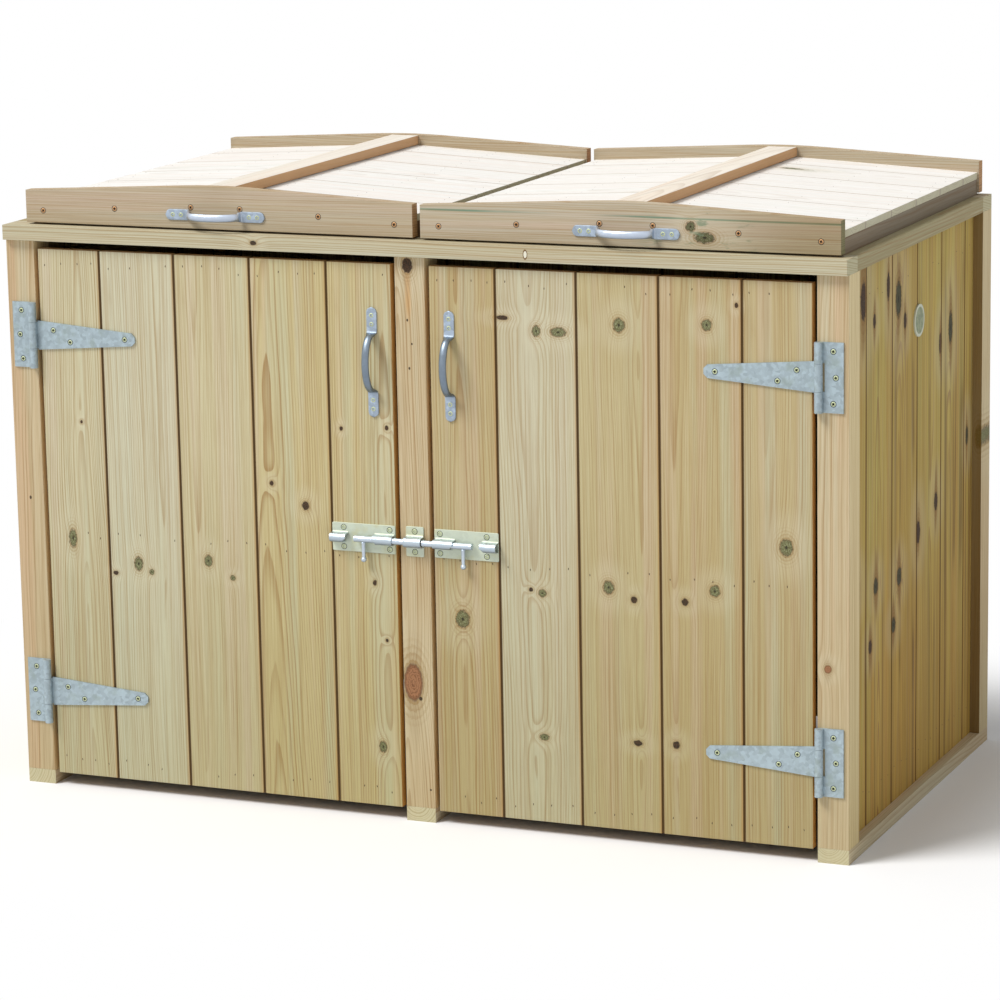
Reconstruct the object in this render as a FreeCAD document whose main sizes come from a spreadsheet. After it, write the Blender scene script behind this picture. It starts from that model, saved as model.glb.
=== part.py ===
import FreeCAD, Part
import Sketcher
import math
import os
import re

# Double wheelie bin store of treated pine: two lidded bays behind two ledged doors.
# X runs to the right, Y from front to back, Z up. The origin is on the ground, at the middle of the
# whole object's box. Heights are taken from the ground, depths from the front edge of the cap frame.

doc = FreeCAD.newDocument("bin_store")
sheet = doc.addObject("Spreadsheet::Sheet", "Sizes")

# Driving sizes in millimetres
SIZES = {
    # frame
    "width": 1650,
    "depth": 900,
    "cap_top": 1080,
    "cap_thick": 28,
    "cap_width": 58,
    "post": 58,
    "post_setback": 12,
    "bearer_high": 27,
    # boards of the walls and doors
    "board_cover": 154.8,
    "board_thick": 18,
    "board_bevel": 2.5,
    "tongue": 6,
    "tongue_thick": 6,
    "tongue_play": 0.25,
    "least_rip": 60,
    "wall_recess": 19,
    "wall_first_rip": 98,
    "rail_thick": 21,
    "rail_high": 45,
    "rail_inset": 40,
    # doors
    "door_gap": 9,
    "door_bottom": 24,
    "door_head_gap": 16,
    "ledge_thick": 20,
    "ledge_high": 70,
    "ledge_inset": 22,
    "ledge_edge": 4,
    "ledge_middle_height": 490,
    # tee hinges
    "hinge_axis_in": 4.5,
    "hinge_upper": 873,
    "hinge_lower": 185,
    "knuckle_radius": 7.5,
    "knuckle_clear": 0.4,
    "knuckle_gap": 0.5,
    "pin_radius": 3.5,
    "pin_clear": 0.3,
    "strap_length": 212,
    "strap_root": 56,
    "strap_tip": 24,
    "strap_thick": 3,
    "strap_clip": 7,
    "butt_high": 124,
    "butt_wide": 44,
    "middle_knuckle": 49,
    # bow handles
    "handle_length": 202,
    "handle_wide": 20,
    "handle_thick": 2.5,
    "foot_length": 54,
    "bow_lap": 9,
    "bow_rise": 34,
    "bow_radius": 6,
    "door_handle_in": 38,
    "door_handle_height": 856,
    "lid_handle_height": 29,
    # slide bolts and their keep
    "bolt_height": 529,
    "rod_radius": 6,
    "rod_length": 98,
    "rod_clear": 0.4,
    "rod_stand": 8.6,
    "guide_wall": 2.2,
    "bolt_plate_length": 126,
    "bolt_plate_high": 53,
    "bolt_plate_thick": 2,
    "bolt_plate_in": 1,
    "main_guide_in": 2,
    "main_guide_length": 40,
    "end_guide_length": 32,
    "keep_length": 35,
    "keep_high": 56,
    "keep_clear": 1.2,
    "tip_clear": 1,
    "collar_radius": 8,
    "collar_clear": 0.3,
    "collar_length": 9,
    "grip_radius": 3,
    "grip_length": 33,
    "knob_radius": 4.5,
    "grip_from_tip": 80.5,
    # lids
    "lid_side_inset": 29,
    "lid_shift": 10.4,
    "lid_parting": 15,
    "lid_front_inset": 24,
    "lid_lift": 4,
    "fascia_thick": 22,
    "fascia_side": 60,
    "fascia_rise": 20,
    "crest_radius": 1500,
    "roof_cover": 152,
    "roof_thick": 13,
    "roof_first_rip": 128,
    "roof_play": 0.1,
    "ridge_gap": 1,
    "eave_high": 30,
    "eave_wide": 45,
    "purlin_wide": 27,
    "eave_setback": 4,
    "purlin_out": 208,
    "ridge_wide": 140,
    "batten_wide": 58,
    "batten_thick": 18,
    # lid hinges
    "lid_hinge_out": 270,
    "lid_hinge_length": 75,
    "lid_leaf_high": 24,
    "lid_leaf_thick": 2,
    "lid_knuckle_radius": 4,
    "lid_pin_radius": 2,
    # screws
    "head_radius": 4,
    "head_deep": 2.2,
    "shank_radius": 2,
    "short_screw": 14,
    "long_screw": 50,
    "butt_screw_out": 25.5,
    "butt_screw_middle_out": 30,
    "butt_screw_up": 46,
    "strap_screw_root": 41,
    "strap_screw_middle": 76,
    "strap_screw_end": 21,
    "strap_screw_off": 10.5,
    "handle_screw_in": 15,
    "handle_screw_apart": 16.5,
    "bolt_screw_in": 11,
    "bolt_screw_apart": 92,
    "bolt_screw_up": 18,
    "keep_screw_in": 9,
    "fascia_screw_in": 36,
    "fascia_screw_ridge": 50,
    "fascia_screw_cover": 3.6,
    "lid_hinge_screw_in": 9.5,
    # badge
    "badge_radius": 30,
    "badge_thick": 3,
    "badge_back": 482,
    "badge_height": 900,
}

# Sizes worked out from the driving ones
WORKED = {
    "half": "width / 2",
    "bay": "(width - 3 * post) / 2",
    "face": "front + post_setback",
    "back": "front + depth",
    "fore": "bow_rise + bow_radius + handle_thick - post_setback",
    "aft": "2 * lid_knuckle_radius + knuckle_clear",
    "front": "0 - (depth + aft - fore) / 2",
    "under_cap": "cap_top - cap_thick",
    "door_width": "bay - 2 * door_gap",
    "door_inner": "post / 2 + door_gap",
    "door_outer": "door_inner + door_width",
    "door_high": "under_cap - door_head_gap - door_bottom",
    "hinge_x": "half - post + hinge_axis_in",
    "hinge_y": "face - knuckle_radius - knuckle_clear",
    "outer_knuckle": "(butt_high - middle_knuckle) / 2 - knuckle_gap",
    "lid_width": "(width - 2 * lid_side_inset - lid_parting) / 2",
    "lid_middle": "(lid_parting + lid_width) / 2",
    "lid_front": "front + lid_front_inset",
    "lid_depth": "depth - lid_front_inset",
    "lid_half": "lid_width / 2",
    "fascia_pitch": "atan(fascia_rise / lid_half)",
    "roof_half": "lid_half - eave_setback",
    "roof_rise": "fascia_rise",
    "roof_pitch": "atan(roof_rise / roof_half)",
    "roof_start": "lid_front + fascia_thick",
    "roof_depth": "lid_depth - 2 * fascia_thick",
    "eave_under": "cap_top + eave_high",
    "lid_axis_y": "back + lid_knuckle_radius + knuckle_clear",
    "lid_axis_z": "cap_top + lid_lift / 2",
    "lid_leaf_gap": "lid_knuckle_radius + knuckle_clear",
    "rod_y": "face - bolt_plate_thick - rod_stand",
    "rod_tip": "keep_length / 2 + tip_clear",
    "guide_radius": "rod_radius + rod_clear + guide_wall",
    "keep_radius": "rod_radius + keep_clear + guide_wall",
    "bow_span": "handle_length - 2 * foot_length + 2 * bow_lap",
    "bow_circle": "(bow_span ^ 2 / 4 + bow_rise ^ 2) / (2 * bow_rise)",
    "wall_face": "half - wall_recess",
}

for row, (alias, number) in enumerate(SIZES.items(), start=1):
    sheet.set(f"A{row}", alias)
    sheet.set(f"B{row}", str(number))
    sheet.setAlias(f"B{row}", alias)
doc.recompute()


def ex(formula):
    """The formula as an expression on the sheet, with the worked-out sizes written out."""
    def swap(match):
        word = match.group(0)
        if word in WORKED:
            return "(" + ex(WORKED[word]) + ")"
        return "Sizes." + word if word in SIZES else word
    return re.sub(r"[A-Za-z_][A-Za-z_0-9]*", swap, str(formula))


def number(formula):
    """The formula's value now, for counts and for tests on sizes."""
    value = sheet.evalExpression(ex(formula))
    return float(getattr(value, "Value", value))


def bind(obj, **formulas):
    for prop, formula in formulas.items():
        obj.setExpression(prop, ex(formula))
    return obj


def place(obj, at):
    for axis, formula in zip("xyz", at):
        obj.setExpression("Placement.Base." + axis, ex(formula))
    return obj


def turn(obj, axis, degrees):
    obj.Placement = FreeCAD.Placement(FreeCAD.Vector(), FreeCAD.Rotation(FreeCAD.Vector(*axis), degrees))
    return obj


def box(name, at, size):
    obj = doc.addObject("Part::Box", name)
    bind(obj, Length=size[0], Width=size[1], Height=size[2])
    return place(obj, at)


TURNS = {
    "+x": ((0, 1, 0), 90), "-x": ((0, 1, 0), -90),
    "+y": ((1, 0, 0), -90), "-y": ((1, 0, 0), 90),
    "+z": ((0, 0, 1), 0), "-z": ((1, 0, 0), 180),
}


def rod(name, at, way, radius, length):
    """A cylinder that starts at a point and runs one way along an axis."""
    obj = doc.addObject("Part::Cylinder", name)
    turn(obj, *TURNS[way])
    bind(obj, Radius=radius, Height=length)
    return place(obj, at)


def ball(name, at, radius):
    obj = doc.addObject("Part::Sphere", name)
    bind(obj, Radius=radius)
    return place(obj, at)


def fuse(name, shapes):
    obj = doc.addObject("Part::MultiFuse", name)
    obj.Shapes = shapes
    return obj


def group(name, shapes):
    obj = doc.addObject("Part::Compound", name)
    obj.Links = shapes
    return obj


def cut(name, base, tools):
    obj = doc.addObject("Part::Cut", name)
    obj.Base = base
    obj.Tool = tools[0] if len(tools) == 1 else group(name + "_tools", tools)
    return obj


def ease(name, base, edges, size):
    """Bevels edges of a block. Edges are given by tests on their two end points."""
    doc.recompute()
    picked = []
    for index, edge in enumerate(base.Shape.Edges, start=1):
        ends = [v.Point for v in edge.Vertexes]
        if len(ends) == 2 and any(all(test(p) for p in ends) for test in edges):
            picked.append((index, size, size))
    obj = doc.addObject("Part::Chamfer", name)
    obj.Base = base
    obj.Edges = picked
    return obj


nodes = []


def node(obj, label):
    obj.Label = label
    nodes.append(obj)
    return obj


def outline(body, name, points, arc=None):
    """
    A closed outline in the body's XZ plane, each corner held to the origin by its two distances.
    arc = (side, middle, radius) rounds one side through a middle point, at a set radius.
    """
    plane = next(o for o in body.Origin.OriginFeatures if o.Role == "XZ_Plane")
    sketch = body.newObject("Sketcher::SketchObject", name)
    sketch.AttachmentSupport = [(plane, "")]
    sketch.MapMode = "FlatFace"
    corners = [FreeCAD.Vector(number(x), number(z), 0) for x, z in points]
    for i, (a, b) in enumerate(zip(corners, corners[1:] + corners[:1])):
        if arc and arc[0] == i:
            middle = FreeCAD.Vector(number(arc[1][0]), number(arc[1][1]), 0)
            sketch.addGeometry(Part.Arc(a, middle, b))
        else:
            sketch.addGeometry(Part.LineSegment(a, b))
    for i in range(len(points)):
        sketch.addConstraint(Sketcher.Constraint("Coincident", i, 2, (i + 1) % len(points), 1))
    for i, (x, z) in enumerate(points):
        for kind, formula in (("DistanceX", x), ("DistanceY", z)):
            if number(formula) == 0:
                axis = -2 if kind == "DistanceX" else -1
                sketch.addConstraint(Sketcher.Constraint("PointOnObject", i, 1, axis))
                continue
            n = sketch.addConstraint(Sketcher.Constraint(kind, -1, 1, i, 1, number(formula)))
            sketch.setExpression(f"Constraints[{n}]", ex(formula))
    if arc:
        n = sketch.addConstraint(Sketcher.Constraint("Radius", arc[0], number(arc[2])))
        sketch.setExpression(f"Constraints[{n}]", ex(arc[2]))
    return sketch


def plate_body(name, points, thick, arc=None):
    """A body with one pad of an outline, from Y = 0 back to its thickness."""
    body = doc.addObject("PartDesign::Body", name)
    sketch = outline(body, name + "_outline", points, arc)
    pad = body.newObject("PartDesign::Pad", name + "_pad")
    pad.Profile = sketch
    pad.Reversed = True
    bind(pad, Length=thick)
    return body


# Screws: a countersunk head flush with the surface, and a shank into the wood behind it
def screws(name, places, way, length):
    """Screws as one shape of separate solids. Each place is where a head's centre meets the surface."""
    shapes = []
    for i, at in enumerate(places):
        head = doc.addObject("Part::Cone", f"{name}_head{i}")
        turn(head, *TURNS[way])
        bind(head, Radius1="head_radius", Radius2="shank_radius", Height="head_deep")
        place(head, at)
        shapes.append(head)
        shapes.append(rod(f"{name}_shank{i}", at, way, "shank_radius", length))
    return fuse(name, shapes)


# Tongue and groove boards, made upright in a frame of their own: X across, Z along, outer face at Y = 0
def board(name, x, wide, long, thick, groove, tongue):
    blank = box(name + "_blank", (x, 0, 0), (wide, thick, long))
    bevel = float(SIZES["board_bevel"])
    left = number(x)
    right = number(x) + number(wide)
    corners = []
    if groove:
        corners.append(lambda p: abs(p.y) < 1e-6 and abs(p.x - left) < 1e-6)
    if tongue:
        corners.append(lambda p: abs(p.y) < 1e-6 and abs(p.x - right) < 1e-6)
    shape = ease(name + "_eased", blank, corners, bevel)
    inset = f"({thick} - tongue_thick) / 2"
    if tongue:
        strip = box(name + "_tongue", (f"{x} + {wide}", inset, 0), ("tongue", "tongue_thick", long))
        shape = fuse(name + "_tongued", [shape, strip])
    if groove:
        slot = box(
            name + "_groove", (x, f"{inset} - tongue_play", 0),
            ("tongue + tongue_play", "tongue_thick + 2 * tongue_play", long),
        )
        shape = cut(name + "_grooved", shape, [slot])
    return shape


def panel(name, widths, long, thick):
    """Boards side by side from X = 0, as one group of separate solids."""
    boards = []
    x = "0"
    for i, wide in enumerate(widths):
        boards.append(board(f"{name}_{i}", x, wide, long, thick, i > 0, i < len(widths) - 1))
        x = f"{x} + {wide}"
    return group(name, boards)


def centred_widths(clear, cover):
    """Full boards in the middle and two equal ripped ones at the sides, as formulas."""
    full = int((number(clear) - 2 * number("least_rip")) // number(cover))
    side = f"(({clear}) - {full} * {cover}) / 2"
    return [side] + [cover] * full + [side]


def running_widths(clear, first, cover):
    """A ripped first board, full boards, and what is left."""
    full = int((number(clear) - number(first) - 1) // number(cover))
    return [first] + [cover] * full + [f"({clear}) - {first} - {full} * {cover}"]


# Frame: bearers front to back on the ground, posts on them, and the cap frame laid flat on the posts
post_x = {"left": "0 - half", "centre": "0 - post / 2", "right": "half - post"}
for side, x in post_x.items():
    bearer = box(f"bearer_{side}_box", (x, "face", 0), ("post", "depth - post_setback", "bearer_high"))
    node(bearer, f"{side}_bearer")

post_size = ("post", "post", "under_cap - bearer_high")
front_posts = {}
for side, x in post_x.items():
    node(box(f"rear_post_{side}_box", (x, "back - post", "bearer_high"), post_size), f"rear_{side}_post")
    front_posts[side] = box(f"front_post_{side}_box", (x, "face", "bearer_high"), post_size)

cap_size = ("width", "cap_width", "cap_thick")
cap_rear = box("cap_rear_box", ("0 - half", "back - cap_width", "under_cap"), cap_size)
node(box("cap_front_box", ("0 - half", "front", "under_cap"), cap_size), "cap_front_rail")
cross_size = ("cap_width", "depth - 2 * cap_width", "cap_thick")
cap_x = {"left": "0 - half", "centre": "0 - cap_width / 2", "right": "half - cap_width"}
for side, x in cap_x.items():
    node(box(f"cap_{side}_box", (x, "front + cap_width", "under_cap"), cross_size), f"cap_{side}_rail")

# Side walls: boards between the posts, standing on the bearer and set back from the posts' faces
wall_clear = "depth - post_setback - 2 * post"
wall_high = "under_cap - bearer_high"
rail_low = "bearer_high + rail_inset"
rail_top = "under_cap - rail_inset - rail_high"
wall_widths = running_widths(wall_clear, "wall_first_rip", "board_cover")
for side, sign in (("left", -1), ("right", 1)):
    boards = panel(f"{side}_wall", wall_widths, wall_high, "board_thick")
    turn(boards, (0, 0, 1), 90)
    place(boards, ("wall_face", "face + post", "bearer_high"))
    wall = boards
    if sign < 0:
        wall = doc.addObject("Part::Mirroring", "left_wall_mirrored")
        wall.Source = boards
        wall.Normal = FreeCAD.Vector(1, 0, 0)
    node(wall, f"{side}_side_boards")
    x = "wall_face - board_thick - rail_thick" if sign > 0 else "0 - wall_face + board_thick"
    rails = [
        box(f"{side}_rail_{i}", (x, "face + post", z), ("rail_thick", wall_clear, "rail_high"))
        for i, z in enumerate((rail_low, rail_top))
    ]
    node(group(f"{side}_rails", rails), f"{side}_side_rails")

# Back wall: boards in two bays between the rear posts, with rails inside
back_panels = []
back_rails = []
for side, x in (("left", "0 - post / 2 - bay"), ("right", "post / 2")):
    boards = panel(f"back_{side}", centred_widths("bay", "board_cover"), wall_high, "board_thick")
    turn(boards, (0, 0, 1), 180)
    place(boards, (f"{x} + bay", "back - wall_recess", "bearer_high"))
    back_panels.append(boards)
    for i, z in enumerate((rail_low, rail_top)):
        at = (x, "back - wall_recess - board_thick - rail_thick", z)
        back_rails.append(box(f"back_{side}_rail_{i}", at, ("bay", "rail_thick", "rail_high")))
node(group("back_wall", back_panels), "back_boards")
node(group("back_wall_rails", back_rails), "back_rails")

# Badge: a plain round disc on the right wall
badge_at = ("wall_face", "front + badge_back", "badge_height")
node(rod("badge_rod", badge_at, "+x", "badge_radius", "badge_thick"), "badge_disc")


# Tee hinges: a butt screwed to the post, its pin, and a tapered strap on the door
def hinge_height(level):
    return "hinge_upper" if level == "upper" else "hinge_lower"


def butt(side, sign, level):
    """The butt with its two outer knuckles, and the pin that it holds."""
    name = f"{side}_{level}_butt"
    mid = hinge_height(level)
    x = f"{sign} * hinge_x"
    low = f"{mid} - butt_high / 2"
    high = f"{mid} + butt_high / 2"
    leaf_x = "hinge_x" if sign > 0 else "0 - hinge_x - butt_wide"
    leaf = box(name + "_leaf", (leaf_x, "face - strap_thick", low), ("butt_wide", "strap_thick", "butt_high"))
    knuckles = [
        rod(name + "_knuckle0", (x, "hinge_y", low), "+z", "knuckle_radius", "outer_knuckle"),
        rod(name + "_knuckle1", (x, "hinge_y", high), "-z", "knuckle_radius", "outer_knuckle"),
    ]
    notch_x = "hinge_x - 1" if sign > 0 else "0 - hinge_x - knuckle_radius - knuckle_clear - 2"
    notch = box(
        name + "_notch", (notch_x, "face - 2 * strap_thick", f"{mid} - middle_knuckle / 2 - knuckle_gap"),
        ("knuckle_radius + knuckle_clear + 3", "3 * strap_thick", "middle_knuckle + 2 * knuckle_gap"),
    )
    leaf = cut(name + "_notched", leaf, [notch])
    bore = rod(name + "_bore", (x, "hinge_y", low), "+z", "pin_radius", "butt_high")
    whole = cut(name + "_bored", fuse(name + "_fused", [leaf] + knuckles), [bore])
    pin = rod(name + "_pin", (x, "hinge_y", low), "+z", "pin_radius", "butt_high")
    return whole, pin


def butt_screw_places(sign, level):
    mid = hinge_height(level)
    spots = (("butt_screw_out", 1), ("butt_screw_middle_out", 0), ("butt_screw_out", -1))
    return [
        (f"{sign} * (hinge_x + {out})", "face - strap_thick", f"{mid} + {up} * butt_screw_up")
        for out, up in spots
    ]


def strap(side, sign, level):
    """The tapered strap, clipped at its tip, with the middle knuckle at its root."""
    name = f"{side}_{level}_strap"
    mid = hinge_height(level)
    x = f"{sign} * hinge_x"
    root = "knuckle_radius / 2"
    points = [
        (root, "0"),
        ("strap_length - strap_clip", "(strap_root - strap_tip) / 2"),
        ("strap_length", "(strap_root - strap_tip) / 2 + strap_clip"),
        ("strap_length", "(strap_root + strap_tip) / 2 - strap_clip"),
        ("strap_length - strap_clip", "(strap_root + strap_tip) / 2"),
        (root, "strap_root"),
    ]
    body = plate_body(name + "_body", points, "strap_thick")
    if sign > 0:
        turn(body, (0, 0, 1), 180)
        place(body, (x, "face", f"{mid} - strap_root / 2"))
    else:
        place(body, (x, "face - strap_thick", f"{mid} - strap_root / 2"))
    blade = doc.addObject("Part::Compound", name + "_blade")
    blade.Links = [body]
    low = f"{mid} - middle_knuckle / 2"
    knuckle = rod(name + "_knuckle", (x, "hinge_y", low), "+z", "knuckle_radius", "middle_knuckle")
    bore = rod(name + "_bore", (x, "hinge_y", low), "+z", "pin_radius + pin_clear", "middle_knuckle")
    # the strap's root corners stop short of the butt's outer knuckles
    relief_x = f"{x} - knuckle_radius - knuckle_clear"
    relief_size = ("2 * (knuckle_radius + knuckle_clear)", "3 * strap_thick", "strap_root")
    relief_y = "face - 2 * strap_thick"
    reliefs = [
        box(name + "_relief0", (relief_x, relief_y, f"{low} + middle_knuckle"), relief_size),
        box(name + "_relief1", (relief_x, relief_y, f"{low} - strap_root"), relief_size),
    ]
    trimmed = cut(name + "_trimmed", blade, reliefs)
    return cut(name + "_bored", fuse(name + "_fused", [trimmed, knuckle]), [bore])


def strap_screw_places(sign, level):
    mid = hinge_height(level)
    spots = (("strap_length - strap_screw_end", 0), ("strap_screw_middle", -1), ("strap_screw_root", 1))
    return [
        (f"{sign} * (hinge_x - ({out}))", "face - strap_thick", f"{mid} + {up} * strap_screw_off")
        for out, up in spots
    ]


# Bow handles: two feet with rounded ends, and a round bar bent to an arc between them
def bow_handle(name, at, upright):
    """A handle whose feet lie on the plane Y = at[1], centred there. Upright ones run along Z."""
    along = "+z" if upright else "+x"
    x, y, z = at
    parts = []
    for i, sign in enumerate((-1, 1)):
        reach = "(foot_length - handle_wide / 2)"
        start = "handle_length / 2 - foot_length" if sign > 0 else "handle_wide / 2 - handle_length / 2"
        if upright:
            corner = (f"{x} - handle_wide / 2", f"{y} - handle_thick", f"{z} + {start}")
            size = ("handle_wide", "handle_thick", reach)
            end = (x, y, f"{z} + {sign} * (handle_length / 2 - handle_wide / 2)")
        else:
            corner = (f"{x} + {start}", f"{y} - handle_thick", f"{z} - handle_wide / 2")
            size = (reach, "handle_thick", "handle_wide")
            end = (f"{x} + {sign} * (handle_length / 2 - handle_wide / 2)", y, z)
        parts.append(box(f"{name}_foot{i}", corner, size))
        parts.append(rod(f"{name}_round{i}", end, "-y", "handle_wide / 2", "handle_thick"))
    bow = doc.addObject("Part::Torus", name + "_bow")
    bind(bow, Radius1="bow_circle", Radius2="bow_radius")
    bow.setExpression("Angle3", ex("2 * asin(bow_span / 2 / bow_circle)"))
    # the arc starts on the torus's X axis, so it is turned to stand out towards the front
    half_arc = math.degrees(math.asin(number("bow_span / 2 / bow_circle")))
    lie = FreeCAD.Rotation(FreeCAD.Vector(0, 0, 1), -90 - half_arc)
    stand = FreeCAD.Rotation(FreeCAD.Vector(0, 1, 0), 90) if upright else FreeCAD.Rotation()
    bow.Placement = FreeCAD.Placement(FreeCAD.Vector(), stand.multiply(lie))
    place(bow, (x, f"{y} + bow_circle - bow_rise - handle_thick", z))
    behind = box(
        name + "_behind", (f"{x} - handle_length", y, f"{z} - handle_length"),
        ("2 * handle_length", "bow_circle", "2 * handle_length"),
    )
    return cut(name + "_shape", fuse(name + "_fused", parts + [bow]), [behind])


def handle_screw_places(at, upright):
    x, y, z = at
    spots = []
    for sign in (-1, 1):
        for off in ("handle_screw_in", "(handle_screw_in + handle_screw_apart)"):
            along = f"{sign} * (handle_length / 2 - {off})"
            top = f"{y} - handle_thick"
            spots.append((x, top, f"{z} + {along}") if upright else (f"{x} + {along}", top, z))
    return spots


# Slide bolts: a plate with two rolled guides, a round rod, and a grip on a collar about the rod
def guide(name, start, length, radius, bore):
    """A rolled guide on a plate: half round in front, straight down to the plate, with a bore."""
    shell = rod(name + "_shell", (start, "rod_y", "bolt_height"), "+x", radius, length)
    corner = (start, "rod_y", f"bolt_height - {radius}")
    cheeks = box(name + "_cheeks", corner, (length, "face - rod_y", f"2 * {radius}"))
    hole = rod(name + "_hole", (start, "rod_y", "bolt_height"), "+x", bore, length)
    return [shell, cheeks], hole


def bolt_plate(side, sign):
    name = f"{side}_bolt"
    inner = "door_inner + bolt_plate_in" if sign > 0 else "0 - door_inner - bolt_plate_in - bolt_plate_length"
    plate = box(
        name + "_flat", (inner, "face - bolt_plate_thick", "bolt_height - bolt_plate_high / 2"),
        ("bolt_plate_length", "bolt_plate_thick", "bolt_plate_high"),
    )
    main = "door_inner + main_guide_in"
    end = "door_inner + bolt_plate_in + bolt_plate_length - end_guide_length"
    if sign < 0:
        main = f"0 - ({main}) - main_guide_length"
        end = f"0 - ({end}) - end_guide_length"
    solids = [plate]
    holes = []
    for key, start, length in (("main", main, "main_guide_length"), ("end", end, "end_guide_length")):
        parts, hole = guide(f"{name}_{key}", start, length, "guide_radius", "rod_radius + rod_clear")
        solids += parts
        holes.append(hole)
    return cut(name + "_plate_shape", fuse(name + "_plate_fused", solids), holes)


def bolt_screw_places(sign):
    top = "face - bolt_plate_thick"
    return [
        (f"{sign} * (door_inner + bolt_plate_in + {x})", top, f"bolt_height + {z} * bolt_screw_up")
        for x in ("bolt_screw_in", "bolt_screw_in + bolt_screw_apart") for z in (-1, 1)
    ]


def bolt_rod(side, sign):
    start = "rod_tip" if sign > 0 else "0 - rod_tip"
    way = "+x" if sign > 0 else "-x"
    return rod(f"{side}_rod", (start, "rod_y", "bolt_height"), way, "rod_radius", "rod_length")


def bolt_grip(side, sign):
    name = f"{side}_grip"
    middle = f"{sign} * (rod_tip + grip_from_tip)"
    collar_at = (f"{middle} - collar_length / 2", "rod_y", "bolt_height")
    collar = rod(name + "_collar", collar_at, "+x", "collar_radius", "collar_length")
    low = "bolt_height - rod_radius - grip_length"
    axis = (middle, "rod_y", "bolt_height")
    stem = rod(name + "_stem", axis, "-z", "grip_radius", "rod_radius + grip_length")
    knob = ball(name + "_knob", (middle, "rod_y", low), "knob_radius")
    bore_at = (f"{middle} - collar_length", "rod_y", "bolt_height")
    bore = rod(name + "_bore", bore_at, "+x", "rod_radius + collar_clear", "2 * collar_length")
    return cut(name + "_shape", fuse(name + "_fused", [collar, stem, knob]), [bore])


# Keep for both bolts on the centre post: its bore is an arch, open down to the plate
keep_plate = box(
    "keep_plate", ("0 - keep_length / 2", "face - bolt_plate_thick", "bolt_height - keep_high / 2"),
    ("keep_length", "bolt_plate_thick", "keep_high"),
)
keep_parts, keep_hole = guide(
    "keep_guide", "0 - keep_length / 2", "keep_length", "keep_radius", "rod_radius + keep_clear"
)
keep_arch = box(
    "keep_arch", ("0 - keep_length / 2", "rod_y", "bolt_height - rod_radius - keep_clear"),
    ("keep_length", "rod_stand", "2 * (rod_radius + keep_clear)"),
)
keep = cut("keep_bored", fuse("keep_fused", [keep_plate] + keep_parts), [keep_hole, keep_arch])
keep_screw_places = [
    ("0", "face - bolt_plate_thick", f"bolt_height + {z} * (keep_high / 2 - keep_screw_in)") for z in (-1, 1)
]

# Lid hinges: plain butts behind the lids, lower leaf on the cap frame, upper leaf on the rear fascia
lid_knuckle = "(lid_hinge_length - 2 * knuckle_gap) / 3"


def lid_hinge(name, middle):
    """Returns the lower leaf with its pin, and the upper leaf."""
    left = f"{middle} - lid_hinge_length / 2"
    sizes = ("lid_hinge_length", "lid_leaf_thick", "lid_leaf_high")
    radius = "lid_knuckle_radius"
    pin = rod(name + "_pin", (left, "lid_axis_y", "lid_axis_z"), "+x", "lid_pin_radius", "lid_hinge_length")
    lower = box(name + "_lower_leaf", (left, "back", "lid_axis_z - lid_leaf_gap - lid_leaf_high"), sizes)
    lugs = []
    for i, start in enumerate((left, f"{middle} + lid_hinge_length / 2 - {lid_knuckle}")):
        lugs.append(rod(f"{name}_lug{i}", (start, "lid_axis_y", "lid_axis_z"), "+x", radius, lid_knuckle))
        lugs.append(
            box(
                f"{name}_web{i}", (start, "back", "lid_axis_z - lid_leaf_high / 2"),
                (lid_knuckle, "lid_leaf_thick", "lid_leaf_high / 2"),
            )
        )
    tight = pin_hole(name + "_a", left, "lid_pin_radius")
    low = cut(name + "_low", fuse(name + "_low_fused", [lower] + lugs), [tight])
    upper = box(name + "_upper_leaf", (left, "back", "lid_axis_z + lid_leaf_gap"), sizes)
    start = f"{middle} - {lid_knuckle} / 2"
    lug = rod(name + "_mid_lug", (start, "lid_axis_y", "lid_axis_z"), "+x", radius, lid_knuckle)
    web = box(
        name + "_mid_web", (start, "back + knuckle_clear", "lid_axis_z"),
        (lid_knuckle, "lid_leaf_thick - knuckle_clear", "lid_leaf_high / 2"),
    )
    loose = pin_hole(name + "_b", left, "lid_pin_radius + pin_clear")
    top = cut(name + "_top", fuse(name + "_top_fused", [upper, lug, web]), [loose])
    return [low, pin], top


def pin_hole(name, left, radius):
    return rod(name + "_hole", (left, "lid_axis_y", "lid_axis_z"), "+x", radius, "lid_hinge_length")


def lid_hinge_screw_places(middle, lower):
    way = -1 if lower else 1
    z = f"lid_axis_z + {way} * (lid_leaf_gap + lid_leaf_high / 2)"
    out = "(lid_hinge_length / 2 - lid_hinge_screw_in)"
    return [(f"{middle} + {step} * {out}", "back + lid_leaf_thick", z) for step in (-1, 0, 1)]


lower_leaves = []
lower_places = []
upper_leaves = {}
upper_places = {}
for side, sign in (("left", -1), ("right", 1)):
    upper_leaves[side] = []
    upper_places[side] = []
    for i, out in enumerate((-1, 1)):
        middle = f"{sign} * lid_middle + lid_shift + {out} * lid_hinge_out"
        low, top = lid_hinge(f"{side}_lid_hinge{i}", middle)
        lower_leaves += low
        upper_leaves[side].append(top)
        lower_places += lid_hinge_screw_places(middle, True)
        upper_places[side] += lid_hinge_screw_places(middle, False)

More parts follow.
